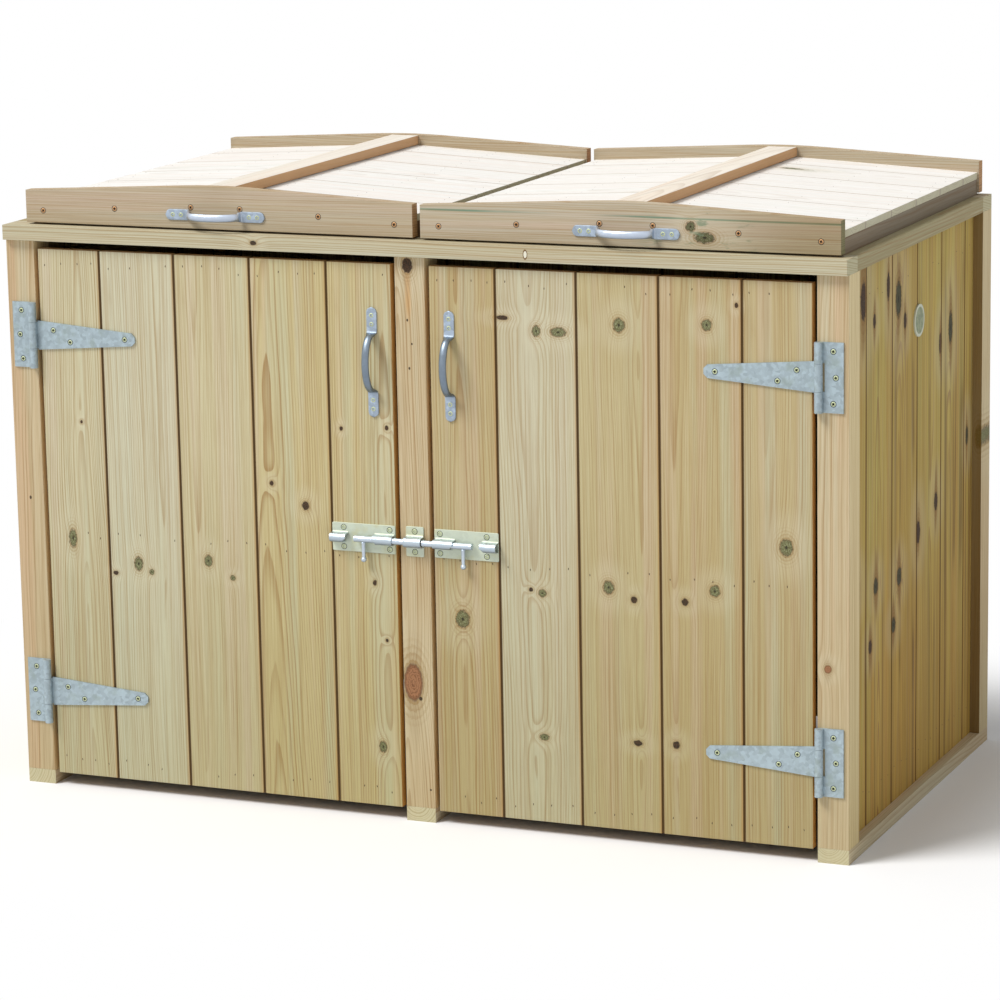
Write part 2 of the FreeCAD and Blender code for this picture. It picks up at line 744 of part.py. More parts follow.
# Hinge butts and the keep on the front posts, and every screw that goes into the frame
butts = {"left": [], "right": []}
butt_places = {"left": [], "right": []}
for side, sign in (("left", -1), ("right", 1)):
    for level in ("upper", "lower"):
        whole, pin = butt(side, sign, level)
        butts[side] += [whole, pin]
        butt_places[side] += butt_screw_places(sign, level)
post_screws = {side: screws(f"{side}_butt_screws", butt_places[side], "+y", "short_screw") for side in butts}
keep_screws = screws("keep_screws", keep_screw_places, "+y", "short_screw")
cap_screws = screws("cap_screws", lower_places, "-y", "short_screw")
for side in butts:
    drilled = cut(f"{side}_butts_drilled", group(f"{side}_butts", butts[side]), [post_screws[side]])
    node(drilled, f"{side}_hinge_butts")
    node(cut(f"front_{side}_drilled", front_posts[side], [post_screws[side]]), f"front_{side}_post")
node(cut("front_centre_drilled", front_posts["centre"], [keep_screws]), "front_centre_post")
node(cut("keep_drilled", keep, [keep_screws]), "bolt_keep")
node(cut("cap_rear_drilled", cap_rear, [cap_screws]), "cap_rear_rail")
drilled = cut("lower_leaves_drilled", group("lower_leaves", lower_leaves), [cap_screws])
node(drilled, "lid_hinge_lower_leaves")
node(group("all_frame_screws", list(post_screws.values()) + [keep_screws, cap_screws]), "frame_screws")

# Doors: five boards, three ledges behind them, and the door's half of the ironwork
for side, sign in (("left", -1), ("right", 1)):
    left = "door_inner" if sign > 0 else "0 - door_outer"
    boards = panel(f"{side}_door", centred_widths("door_width", "board_cover"), "door_high", "board_thick")
    place(boards, (left, "face", "door_bottom"))
    ledge_places = (
        "door_bottom + ledge_edge",
        "ledge_middle_height - ledge_high / 2",
        "door_bottom + door_high - ledge_edge - ledge_high",
    )
    ledges = [
        box(
            f"{side}_ledge_{i}", (f"{left} + ledge_inset", "face + board_thick", z),
            ("door_width - 2 * ledge_inset", "ledge_thick", "ledge_high"),
        )
        for i, z in enumerate(ledge_places)
    ]
    grip_at = (f"{sign} * (door_inner + door_handle_in)", "face", "door_handle_height")
    iron = {level: strap(side, sign, level) for level in ("upper", "lower")}
    handle = bow_handle(f"{side}_pull", grip_at, True)
    plate = bolt_plate(side, sign)
    fixings = screws(
        f"{side}_door_screws_shape",
        strap_screw_places(sign, "upper") + strap_screw_places(sign, "lower")
        + handle_screw_places(grip_at, True) + bolt_screw_places(sign),
        "+y", "short_screw",
    )
    node(cut(f"{side}_door_drilled", boards, [fixings]), f"{side}_door_boards")
    node(group(f"{side}_ledges", ledges), f"{side}_door_ledges")
    for level in ("upper", "lower"):
        node(cut(f"{side}_{level}_strap_drilled", iron[level], [fixings]), f"{side}_{level}_hinge_strap")
    node(cut(f"{side}_pull_drilled", handle, [fixings]), f"{side}_door_handle")
    node(cut(f"{side}_plate_drilled", plate, [fixings]), f"{side}_bolt_plate")
    node(fixings, f"{side}_door_screws")
    node(bolt_rod(side, sign), f"{side}_bolt_rod")
    node(bolt_grip(side, sign), f"{side}_bolt_grip")

# Lids: front and rear fascias with a shallow crest, rails between them, boards across, and a ridge batten.
# Both stand a little to the right of the frame's middle.
crest_out = "crest_radius * sin(fascia_pitch)"
crest_z = "fascia_side + fascia_rise - crest_radius * sin(fascia_pitch) * tan(fascia_pitch)"
crest_top = "fascia_side + fascia_rise - crest_radius * (1 / cos(fascia_pitch) - 1)"
fascia_points = [
    ("0", "0"),
    ("lid_width", "0"),
    ("lid_width", "fascia_side"),
    (f"lid_half + {crest_out}", crest_z),
    (f"lid_half - {crest_out}", crest_z),
    ("0", "fascia_side"),
]
crest_arc = (3, ("lid_half", crest_top), "crest_radius")


def fascia(name, at):
    """A fascia board whose two slopes meet in a rounded crest."""
    body = place(plate_body(name + "_body", fascia_points, "fascia_thick", crest_arc), at)
    held = doc.addObject("Part::Compound", name + "_blank")
    held.Links = [body]
    return held


def roof_under(out):
    """Height of the roof boards' underside at a distance from the ridge."""
    return f"(eave_under + roof_rise * (1 - ({out}) / roof_half))"


def fascia_screw_places(middle, y):
    """A screw into the end of each eave rail and purlin, and two into the ridge rail."""
    spots = (
        ("(lid_half - fascia_screw_in)", "roof_half"),
        ("purlin_out", "purlin_out + purlin_wide / 2"),
        ("fascia_screw_ridge", "ridge_wide / 2"),
    )
    return [
        (f"{middle} + {sign} * {out}", y, f"{roof_under(edge)} - fascia_screw_cover")
        for out, edge in spots for sign in (-1, 1)
    ]


for side, sign in (("left", -1), ("right", 1)):
    middle = f"{sign} * lid_middle + lid_shift"
    base_z = "cap_top + lid_lift"
    front_board = fascia(f"{side}_front_fascia", (f"{middle} - lid_half", "lid_front", base_z))
    rear_board = fascia(f"{side}_rear_fascia", (f"{middle} - lid_half", "back - fascia_thick", base_z))
    # rails run front to back between the fascias, each under the boards at its outer edge
    rails = []
    rail_spots = (("roof_half - eave_wide", "eave_wide"), ("purlin_out - purlin_wide / 2", "purlin_wide"))
    for i, (out, wide) in enumerate(rail_spots):
        top = f"{roof_under(out + ' + ' + wide)} - roof_play"
        low = "cap_top" if i == 0 else base_z
        for s, start in ((-1, f"0 - ({out}) - {wide}"), (1, out)):
            rails.append(
                box(
                    f"{side}_lid_rail_{i}_{s + 1}", (f"{middle} + {start}", "roof_start", low),
                    (wide, "roof_depth", f"{top} - ({low})"),
                )
            )
    top = f"{roof_under('ridge_wide / 2')} - roof_play"
    rails.append(
        box(
            f"{side}_ridge_rail", (f"{middle} - ridge_wide / 2", "roof_start", f"{top} - purlin_wide"),
            ("ridge_wide", "roof_depth", "purlin_wide"),
        )
    )
    # each slope is a panel turned to lie across the lid, then tipped to the roof's pitch
    slopes = []
    for s in (-1, 1):
        long = "sqrt(roof_half ^ 2 + roof_rise ^ 2) - ridge_gap"
        widths = running_widths("roof_depth", "roof_first_rip", "roof_cover")[::-s]
        boards = panel(f"{side}_roof_{s + 1}", widths, long, "roof_thick")
        # the boards' length falls outwards from the ridge, their widths run along it, their outer face is up
        pitch = math.radians(number("roof_pitch"))
        across = FreeCAD.Vector(s * math.cos(pitch), 0, -math.sin(pitch))
        width_way = FreeCAD.Vector(0, -s, 0)
        inward = across.cross(width_way)
        axes = FreeCAD.Matrix()
        axes.setCol(0, width_way)
        axes.setCol(1, inward)
        axes.setCol(2, across)
        boards.Placement = FreeCAD.Placement(axes)
        y = "roof_start + roof_depth" if s > 0 else "roof_start"
        x = f"{middle} + {s} * (ridge_gap + roof_thick * sin(roof_pitch))"
        place(boards, (x, y, "eave_under + roof_rise + roof_thick * cos(roof_pitch)"))
        slopes.append(boards)
    batten_at = (f"{middle} - batten_wide / 2", "roof_start", "eave_under + roof_rise + roof_thick")
    batten = box(f"{side}_batten", batten_at, ("batten_wide", "roof_depth", "batten_thick"))
    grip_at = (middle, "lid_front", "cap_top + lid_handle_height")
    handle = bow_handle(f"{side}_lift", grip_at, False)
    handle_screws = screws(f"{side}_lift_screws", handle_screw_places(grip_at, False), "+y", "short_screw")
    front_places = fascia_screw_places(middle, "lid_front")
    rear_places = fascia_screw_places(middle, "back")
    front_screws = screws(f"{side}_fascia_screws", front_places, "+y", "long_screw")
    rear_screws = screws(f"{side}_rear_screws", rear_places, "-y", "long_screw")
    leaf_screws = screws(f"{side}_leaf_screws", upper_places[side], "-y", "short_screw")
    lid_rails = group(f"{side}_lid_rails", rails)
    leaves = group(f"{side}_upper_leaves", upper_leaves[side])
    all_screws = [handle_screws, front_screws, rear_screws, leaf_screws]
    node(cut(f"{side}_front_drilled", front_board, [handle_screws, front_screws]), f"{side}_lid_front_fascia")
    node(cut(f"{side}_rear_drilled", rear_board, [rear_screws, leaf_screws]), f"{side}_lid_rear_fascia")
    node(cut(f"{side}_rails_drilled", lid_rails, [front_screws, rear_screws]), f"{side}_lid_frame")
    node(group(f"{side}_roof", slopes), f"{side}_lid_boards")
    node(batten, f"{side}_ridge_batten")
    node(cut(f"{side}_lift_drilled", handle, [handle_screws]), f"{side}_lid_handle")
    node(cut(f"{side}_upper_leaves_drilled", leaves, [leaf_screws]), f"{side}_lid_hinge_leaves")
    node(group(f"{side}_lid_screws_shape", all_screws), f"{side}_lid_screws")

doc.recompute()
for obj in doc.Objects:
    if "Invalid" in obj.State or "Error" in obj.State:
        raise RuntimeError(f"{obj.Name} failed: {obj.State}")
os.makedirs("parts", exist_ok=True)
for obj in nodes:
    shape = obj.Shape
    if shape.isNull() or not shape.isValid():
        raise RuntimeError(f"{obj.Label} has no sound shape")
    shape.exportStep(f"parts/{obj.Label}.step")
    b = shape.BoundBox
    spans = " ".join(f"{a:8.1f} to {c:8.1f}" for a, c in ((b.XMin, b.XMax), (b.YMin, b.YMax), (b.ZMin, b.ZMax)))
    print(f"{obj.Label:26s}", len(shape.Solids), "solids", spans)
print(len(nodes), "nodes")
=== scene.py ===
# %% [markdown]
# # A double wheelie bin store in treated pine
#
# The store is a softwood box for two bins: posts and a flat cap frame, tongue and groove boards on the
# walls, two ledged doors on tee hinges, and two lids with a shallow crest. The solid frame comes from the
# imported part, so every board and post already has its place. What is left to do here is the look of it:
# pine with its grain, knots and nails, galvanised steel with its spangle, and the small rounded shapes,
# such as handles, bolts and screws.

# %% The frame
import math
import random

import bmesh
import bpy
import numpy as np
from mathutils import Matrix, Vector


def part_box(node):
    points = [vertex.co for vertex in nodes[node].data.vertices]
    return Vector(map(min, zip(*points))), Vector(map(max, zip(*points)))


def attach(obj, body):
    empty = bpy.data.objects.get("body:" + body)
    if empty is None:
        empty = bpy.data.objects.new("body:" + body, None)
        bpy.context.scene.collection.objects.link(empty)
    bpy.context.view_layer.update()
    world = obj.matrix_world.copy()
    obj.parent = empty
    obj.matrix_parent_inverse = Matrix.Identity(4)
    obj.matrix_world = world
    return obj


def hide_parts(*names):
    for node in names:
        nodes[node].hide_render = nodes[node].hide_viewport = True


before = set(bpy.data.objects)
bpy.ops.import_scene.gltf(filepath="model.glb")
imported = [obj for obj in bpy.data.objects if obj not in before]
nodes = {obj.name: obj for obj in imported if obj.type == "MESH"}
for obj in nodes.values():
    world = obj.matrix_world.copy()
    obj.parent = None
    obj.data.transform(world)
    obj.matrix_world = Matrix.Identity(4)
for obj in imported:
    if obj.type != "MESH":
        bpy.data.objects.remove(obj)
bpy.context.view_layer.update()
MM = 0.001
SIDES = {"left": -1, "right": 1}
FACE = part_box("front_centre_post")[0].y

# %% [markdown]
# ## Writing shaders as sums
#
# A procedural wood is mostly arithmetic on the place of a point. Adding Math nodes one by one hides that
# arithmetic, so a small class wraps a socket and turns Python's operators into Math nodes. Then the
# distance from a log's heart can be written as it is in a book.


# %% Sockets with operators
class Value:
    """An output of a node. Sums on it add Math nodes to its tree."""

    def __init__(self, tree, socket):
        self.tree = tree
        self.socket = socket

    def __rsub__(self, other):
        return self * -1 + other

    def __neg__(self):
        return self * -1

    def over(self, low, high):
        """0 at low and 1 at high, with a soft step between. low may be the larger one."""
        limits = {"Value": self, "From Min": low, "From Max": high}
        return self.tree.node("ShaderNodeMapRange", {"interpolation_type": "SMOOTHSTEP"}, limits)


def math_node(operation):
    """A method of Value that adds a Math node."""
    def method(*values):
        return values[0].tree.node("ShaderNodeMath", {"operation": operation}, dict(enumerate(values)))
    return method


for name, operation in {
    "__add__": "ADD", "__radd__": "ADD", "__sub__": "SUBTRACT", "__mul__": "MULTIPLY", "__rmul__": "MULTIPLY",
    "__truediv__": "DIVIDE", "__pow__": "POWER", "__abs__": "ABSOLUTE", "floor": "FLOOR",
    "fraction": "FRACT", "root": "SQRT", "exp": "EXPONENT", "less": "MINIMUM", "more": "MAXIMUM",
}.items():
    setattr(Value, name, math_node(operation))


# the rays that show the background plain white: the camera's, and those off metal and through glass
WHITE_RAYS = ("Is Camera Ray", "Is Glossy Ray", "Is Transmission Ray")


class Shader:
    """The node tree of a material or of the world."""

    def __init__(self, owner):
        self.owner = owner
        owner.use_nodes = True
        self.nodes = owner.node_tree.nodes
        self.links = owner.node_tree.links
        self.nodes.clear()

    def node(self, kind, settings=None, inputs=None, out=0):
        """Adds a node: its settings first, then the values or links of its sockets. Returns an output."""
        made = self.nodes.new(kind)
        for key, value in (settings or {}).items():
            setattr(made, key, value)
        for key, value in (inputs or {}).items():
            socket = made.inputs[key]
            if isinstance(value, Value):
                self.links.new(value.socket, socket)
            elif isinstance(value, tuple) and socket.type == "RGBA":
                socket.default_value = (*value, 1)
            else:
                socket.default_value = value
        return Value(self, made.outputs[out])

    def apart(self, vector):
        return [self.node("ShaderNodeSeparateXYZ", None, {0: vector}, out=i) for i in range(3)]

    def place(self):
        """The point's own x, y and z in metres."""
        return self.apart(self.node("ShaderNodeTexCoord", out="Object"))

    def facing(self):
        """The surface's direction in the piece's own axes."""
        return self.apart(self.node("ShaderNodeTexCoord", out="Normal"))

    def vector(self, x, y, z):
        return self.node("ShaderNodeCombineXYZ", None, {0: x, 1: y, 2: z})

    def noise(self, x, y, z, detail=2.0, rough=0.5):
        """Smooth noise about 0.5 at a place that is already scaled."""
        inputs = {"Vector": self.vector(x, y, z), "Scale": 1.0, "Detail": detail, "Roughness": rough}
        return self.node("ShaderNodeTexNoise", None, inputs)

    def chance(self, number, salt=0.0):
        """A random value from 0 to 1 that belongs to a whole number."""
        here = {"W": number * 1.37 + (salt + 0.31)}
        return self.node("ShaderNodeTexWhiteNoise", {"noise_dimensions": "1D"}, here)

    def mix(self, amount, a, b, blend="MIX"):
        settings = {"data_type": "RGBA", "blend_type": blend, "clamp_factor": True}
        return self.node("ShaderNodeMix", settings, {0: amount, 6: a, 7: b}, out=2)

    def bump(self, height, distance, strength=1.0, base=None):
        inputs = {"Height": height, "Distance": distance, "Strength": strength}
        if base is not None:
            inputs["Normal"] = base
        return self.node("ShaderNodeBump", None, inputs)

    def white_rays(self):
        """1 for the rays that show the background plain white, and 0 for those that light the store."""
        first, second, third = (self.node("ShaderNodeLightPath", out=kind) for kind in WHITE_RAYS)
        return first.more(second).more(third)

    def end(self, kind, shader):
        """Adds the output node of a material or world."""
        self.links.new(shader.socket, self.nodes.new(kind).inputs[0])
        return self.owner

    def finish(self, **inputs):
        made = self.nodes.new("ShaderNodeBsdfPrincipled")
        for key, value in inputs.items():
            socket = made.inputs[key.replace("_", " ")]
            if isinstance(value, Value):
                self.links.new(value.socket, socket)
            else:
                socket.default_value = (*value, 1) if socket.type == "RGBA" else value
        return self.end("ShaderNodeOutputMaterial", Value(self, made.outputs[0]))


def blank(name):
    """The empty tree of a new material."""
    return Shader(bpy.data.materials.new(name))


def srgb(*colour):
    """A colour as it is read off a screen, 0 to 255, made linear."""
    return tuple(v / 255 / 12.92 if v < 10 else ((v / 255 + 0.055) / 1.055) ** 2.4 for v in colour)


# %% [markdown]
# ## Pine
#
# A board is a slice of a log. Its grain is where the log's yearly rings come out at the face: near the
# board's middle the cut runs along the rings and draws tall arches, and towards its edges it crosses them
# and draws straight lines. So the shader doesn't paint arches. It works out how far a point is from the
# log's heart, lets the heart wander and the log taper, and colours the distance in rings. That also gives
# the right end grain, since the sum is the same on every face.
#
# Each board of a wall needs a log of its own. The boards' shared mesh says nothing about that, but their
# cover width does: dividing the place across the wall by it numbers the boards, and the number picks the
# board's tint, heart and taper. Pressure treatment leaves its own marks: a khaki cast, pale green where the
# sapwood took most of it, and green or near black knots.

# %% Tints
# for each kind of piece: its two base tints, the flushed stripes, and the stripes that took most treatment
TINTS = {
    "left_door": (srgb(203, 192, 150), srgb(196, 179, 128), srgb(206, 186, 156), srgb(196, 195, 162)),
    # the right door's tints are darker than the left's: painted shade, for light that falls off towards the
    # right
    "right_door": (srgb(194, 182, 140), srgb(187, 168, 122), srgb(197, 176, 146), srgb(188, 185, 152)),
    "frame": (srgb(206, 192, 160), srgb(198, 174, 134), srgb(208, 178, 144), srgb(202, 196, 168)),
    "cap": (srgb(197, 192, 165), srgb(189, 180, 149), srgb(197, 181, 156), srgb(192, 194, 172)),
    "rail": (srgb(170, 162, 126), srgb(160, 148, 110), srgb(168, 154, 118), srgb(160, 158, 124)),
    "wall": (srgb(200, 180, 98), srgb(187, 159, 76), srgb(194, 159, 82), srgb(183, 181, 102)),
    "back": (srgb(198, 181, 128), srgb(186, 163, 104), srgb(194, 168, 118), srgb(184, 179, 130)),
    "fascia": (srgb(195, 186, 166), srgb(185, 170, 144), srgb(197, 177, 157), srgb(181, 178, 160)),
    # the lids' boards and battens are near white: painted light, for the bright sky on their tops
    "roof": (srgb(249, 248, 245), srgb(246, 242, 237), srgb(246, 238, 231), srgb(241, 242, 237)),
    "batten": (srgb(246, 241, 232), srgb(240, 230, 216), srgb(242, 226, 208), srgb(236, 234, 222)),
}
# the grain's lines and pale bands, and an orange that marks streaks in the wood and is also painted light on
# edge faces
LINE, STREAK, ORANGE_STREAK_AND_EDGE_LIGHT = srgb(150, 112, 60), srgb(166, 136, 88), srgb(206, 146, 70)
BLEACHED, GREYED, BROWN = srgb(222, 214, 184), srgb(207, 206, 184), srgb(92, 66, 22)
# painted shade for fronts deep in a recess, and painted light for the lit bevel beside a joint
SHADE, PAINTED_BEVEL_LIGHT = srgb(116, 86, 16), srgb(176, 128, 60)
# what treatment leaves: a green line, and green pools
TIDE, POOL = srgb(88, 130, 108), srgb(118, 138, 112)
# about a knot: the pale wood, the arcs that squeeze past it, and the rust that runs from it
HALO, ARC, RUST = srgb(216, 208, 180), srgb(154, 120, 66), srgb(132, 96, 46)
# a green knot's two tones, its pale specks, dark rings, deepest shade, rim and pith
MOSS = (srgb(88, 84, 48), srgb(138, 142, 104))
SPECK, MOSS_RING, MOSS_DEEP = srgb(168, 172, 140), srgb(74, 66, 36), srgb(34, 34, 18)
RIM, PITH = srgb(66, 50, 26), srgb(38, 30, 20)
# a red knot's two tones, its specks and its rim; a black knot's two tones
RUDDY, RUDDY_SPECK, RUDDY_RIM = (srgb(162, 112, 78), srgb(120, 74, 48)), srgb(184, 140, 104), srgb(86, 50, 28)
CHAR = (srgb(30, 24, 18), srgb(84, 54, 34))
PINHOLE, PITCH_EDGE, PITCH = srgb(46, 32, 20), srgb(112, 80, 40), srgb(228, 224, 206)
# what worn wood is multiplied by, and the painted light that makes a post's sides paler
WORN, SIDE_LIGHT_PAINT = (0.72, 0.66, 0.54), (1.38, 1.42, 1.28)
# how far apart the log's yearly rings are
RING = 4.6 * MM
# what the wood near the ground is multiplied by: painted shade on a door, and a darker orange on a wall
PAINTED_LOW_SHADE, WARM = (0.62, 0.63, 0.48), (0.94, 0.72, 0.40)
# end grain, pale and dark: fresh, weathered, and green with treatment
FRESH = (srgb(190, 140, 88), srgb(140, 92, 50))
WEATHERED = (srgb(196, 190, 154), srgb(170, 158, 120))
OLIVE = (srgb(126, 122, 82), srgb(96, 92, 58))
# what shows in the joint between two boards
DARK_JOINT, PALE_JOINT = srgb(74, 50, 20), srgb(176, 164, 148)


# %% Knots
def nearest(sh, across, along, knots, pull=1.0):
    """How many radii away the nearest knot is. A knot is (across, along, radius, stretch along the grain)."""
    found = None
    here = sh.vector(across, along, 0.0)
    for a, z, radius, stretch in knots:
        away = sh.node("ShaderNodeVectorMath", {"operation": "SUBTRACT"}, {0: here, 1: (a, z, 0.0)})
        scale = (1 / radius, 1 / (radius * stretch * pull), 0.0)
        away = sh.node("ShaderNodeVectorMath", {"operation": "MULTIPLY"}, {0: away, 1: scale})
        away = sh.node("ShaderNodeVectorMath", {"operation": "LENGTH"}, {0: away}, out="Value")
        found = away if found is None else found.less(away)
    return found


def scattered(sh, across, along, number, salt, apart):
    """Radii to the nearest of a sprinkling of small knots that nobody placed. apart spreads them."""
    spot = sh.vector(across / (0.16 * apart) + number * 3.1, along / (0.42 * apart) + salt, 0.0)
    flat = {"voronoi_dimensions": "2D"}
    away = sh.node("ShaderNodeTexVoronoi", flat, {"Vector": spot, "Scale": 1.0, "Randomness": 0.95})
    return away * (apart / 0.055) + 0.25


# %% The finish
def pine(name, along, across, depth, tint, number=0.0, cover=None, salt=0.0, grain=1.0,
         knots=(), dead=(), ruddy=(), pins=(), pockets=(), streaks=(), scatter=0.0, dim=0.0, tails=0.0,
         cool=(), stain=0.0, dark=0.0, foot=0.0, low_multiplier=PAINTED_LOW_SHADE, painted_edge_light=0.0, shaded=0.0, painted_light_on_sides=0.0,
         tide=None, worn=None, cut=FRESH, joint=DARK_JOINT):
    """
    A pine finish. along, across and depth pick or work out a place in metres from x, y and z: down the
    grain, across the board and inwards from its face. Boards side by side have a cover width, and a
    board that stands alone has a number. salt makes a finish unlike the others, and grain is how
    strongly its lines show.

    knots are the green ones, dead the black ones and ruddy those with red wood about them. The grain
    runs straight past pins, which are small holes, pockets of pitch and orange streaks. scatter spreads
    small knots that nobody placed, further apart for a larger number. dim is how dark the green knots
    are, and tails how much rust runs from all of them.

    cool is how grey each board is, from the first, stain how much the treatment pooled, and dark how
    strong the wide brown streaks are. foot is how strongly the wood darkens towards the ground, by
    low_multiplier, whose default is painted shade. painted_edge_light is how much painted orange light
    the faces across the board take, shaded how much painted shade darkens the front, and
    painted_light_on_sides how much painted light pales the sides. tide is where a green line runs, and
    worn where the wood darkens, from and to. cut is the two tones of the end grain, and joint the colour
    between two boards.
    """
    sh = blank(name)
    x, y, z = sh.place()
    nx, ny, nz = sh.facing()
    down, over, inwards = along(x, y, z), across(x, y, z), depth(x, y, z)
    ends = abs(along(nx, ny, nz) - along(0, 0, 0)).over(0.7, 0.95)
    edges = abs(across(nx, ny, nz) - across(0, 0, 0)).over(0.75, 0.95)
    if cover:
        board = (over / cover).floor()
        local = over - (board + 0.5) * cover
        board = board + number
    else:
        board = over * 0 + number
        local = over
    lot = [sh.chance(board, salt + k * 7.7) for k in range(6)]
    # the log's heart lies beside the board's middle and behind its face, and wanders as it goes up
    heart = (lot[0] - 0.5) * 0.1
    sway = sh.noise(down * 0.9, board * 5.3 + salt, 0.0, detail=1.0) - 0.5
    sunk = lot[1] * lot[1] * 0.06 + 0.01
    wander = sh.noise(local * 13, down * 2.1, board * 9.1 + salt, detail=2.0) - 0.5
    waver = sh.noise(local * 55, down * 7.0, board * 3.3 + inwards * 50, detail=2.0) - 0.5
    off = local - heart + sway * 0.04
    away = (off * off + (inwards + sunk) * (inwards + sunk)).root()
    radius = away + down * ((lot[2] - 0.5) * 0.06) + wander * 0.013 + waver * 0.0018
    # a knot is never quite round, so its outline is jagged by a little noise
    jag = (sh.noise(over * 230, down * 150, inwards * 230, detail=3.0) - 0.5) * 0.9
    placed = tuple(knots) + tuple(dead) + tuple(ruddy)
    near = nearest(sh, over, down, placed) if placed else None
    green_near = nearest(sh, over, down, knots) if knots else None
    if scatter:
        free = scattered(sh, over, down, board, salt, scatter)
        near = free if near is None else near.less(free)
        green_near = free if green_near is None else green_near.less(free)
    if near is not None:
        radius = radius + (near * -0.5).exp() * 0.017
    phase = radius / RING + sh.noise(radius * 70, board, salt, detail=0.0) * 2.2
    ring = phase.fraction()
    late = ring.over(0.45, 0.93) * ring.over(1.0, 0.95) * (sh.chance(phase.floor(), salt + 3.0) * 0.75 + 0.25)
    fibre = sh.noise(local * 800, inwards * 800, down * 12, detail=3.0, rough=0.6)
    lines = sh.noise(local * 330, inwards * 330, down * 2.2 + board, detail=2.0, rough=0.6)
    cloud = sh.noise(local * 8 + board * 4, down * 2.4, salt + 2.0, detail=3.0)
    flush = sh.noise(local * 34 + board * 7, down * 0.7, salt + 5.0, detail=2.0)
    soaked = sh.noise(local * 26 + board * 11, down * 0.8, salt + 8.0, detail=2.0)
    bands = sh.noise(local * 150, down * 1.5, board * 3.0 + salt, detail=2.0)
    # the wood's own colour: a base for the board, wide stripes in it, then rings and fibres
    pale, deep, pink, green = TINTS[tint]
    colour = sh.mix(lot[3] * 0.7 + cloud * 0.4 - 0.05, pale, deep)

    def coat(amount, over_it, blend="MIX"):
        nonlocal colour
        colour = sh.mix(amount, colour, over_it, blend)

    coat(flush.over(0.46, 0.66) * (lot[4] * 0.5 + 0.35), pink)
    coat(soaked.over(0.5, 0.7) * (lot[5] * 0.5 + 0.3), green)
    if cool:
        share = sum((abs(board - (number + k)) * 2).over(1.0, 0.5) * amount
                    for k, amount in enumerate(cool) if amount)
        coat(share, GREYED)
    coat(bands.over(0.45, 0.7) * (0.3 * grain), STREAK)
    if dark:
        brown = sh.noise(local * 60 + board * 3, down * 0.7, salt + 31.0, detail=3.0, rough=0.6)
        brown = brown.over(0.48, 0.66) * cloud.over(0.36, 0.58) * (lot[5] * 0.6 + 0.4)
        coat(brown * dark, BROWN)
    if tide is not None:
        line = abs(over + (wander * 6 + waver) * MM - tide).over(2.6 * MM, 0.6 * MM) * cloud.over(0.36, 0.56)
        coat(line * 0.85, TIDE)
    if streaks:
        coat(nearest(sh, over + wander * 0.01, down, streaks).over(1.1, 0.2) * 0.6, ORANGE_STREAK_AND_EDGE_LIGHT)
    coat(late * ((lot[2] * 0.4 + 0.4) * grain), LINE)
    coat(lines.over(0.5, 0.75) * (0.4 * grain), LINE)
    coat(lines.over(0.5, 0.3) * 0.2, BLEACHED)
    coat((fibre - 0.5).more(0.0) * (1.3 * grain), LINE)
    if near is not None:
        # pale wood about a knot, the brown arcs that squeeze past it, then the knot itself
        coat(near.over(6.0, 2.2) * 0.22, HALO)
        arcs = ((near + jag * 0.4) * 2.3).fraction().over(0.35, 0.9) * near.over(3.2, 1.2)
        coat(arcs * 0.4 + near.over(2.0, 1.0) * 0.25, ARC)
    if tails:
        long = nearest(sh, over, down, placed, pull=4.0) + (wander + waver) * 1.2
        coat(long.over(1.25, 0.45) * tails, RUST)
    speck = sh.noise(over * 520, down * 320, inwards * 420, detail=3.0, rough=0.65)
    if green_near is not None:
        heart_near = green_near + jag
        moss = sh.mix(speck.over(0.36, 0.62), *MOSS)
        moss = sh.mix(speck.over(0.58, 0.7) * 0.7, moss, SPECK)
        moss = sh.mix((heart_near * 2.6).fraction().over(0.6, 0.95) * 0.45, moss, MOSS_RING)
        if dim:
            moss = sh.mix(dim, moss, MOSS_DEEP)
        coat(heart_near.over(1.12, 0.86) * 0.95, moss)
        rim = heart_near.over(0.78, 1.0) * heart_near.over(1.26, 1.04) * speck.over(0.34, 0.56)
        coat(rim * 0.8, RIM)
        coat(green_near.over(0.3, 0.14) * 0.85, PITH)
    if ruddy:
        red = nearest(sh, over, down, ruddy) + jag * 0.35
        swirl = sh.mix((red * 4.4 + jag).fraction().over(0.4, 0.95), *RUDDY)
        swirl = sh.mix(speck.over(0.55, 0.7) * 0.5, swirl, RUDDY_SPECK)
        coat(red.over(1.1, 0.95) * 0.92, swirl)
        coat(red.over(0.85, 1.0) * red.over(1.2, 1.03) * 0.6, RUDDY_RIM)
    if dead:
        black = nearest(sh, over, down, dead) + jag * 0.8
        char = sh.mix(speck.over(0.4, 0.66), *CHAR)
        coat(black.over(1.15, 0.85) * 0.95, char)
    if pins:
        hole = nearest(sh, over, down, pins) + jag * 0.5
        coat(hole.over(1.15, 0.8) * 0.9, PINHOLE)
    if pockets:
        pitch = nearest(sh, over, down, pockets) + jag * 0.3
        coat(pitch.over(1.25, 1.0), PITCH_EDGE)
        coat(pitch.over(0.85, 0.7), PITCH)
    if stain:
        pool = sh.noise(local * 38, down * 13, salt + 21.0, detail=5.0, rough=0.62)
        pool = pool.over(0.53, 0.6) * near.over(9.0, 2.0) if near is not None else pool.over(0.6, 0.66)
        coat(pool * stain, POOL)
    # darker towards the ground; with the default multiplier that is painted shade
    if foot:
        coat(down.over(0.8, 0.0) * foot, low_multiplier, blend="MULTIPLY")
    if worn:
        coat(down.over(*worn), WORN, blend="MULTIPLY")
    # painted light: faces turned across the board, such as a door's edges in its gaps, are painted orange
    if painted_edge_light:
        coat(edges * painted_edge_light, ORANGE_STREAK_AND_EDGE_LIGHT)
    # painted shade: faces turned to the front are darkened
    if shaded:
        coat((-ny).over(0.7, 0.95) * shaded, SHADE)
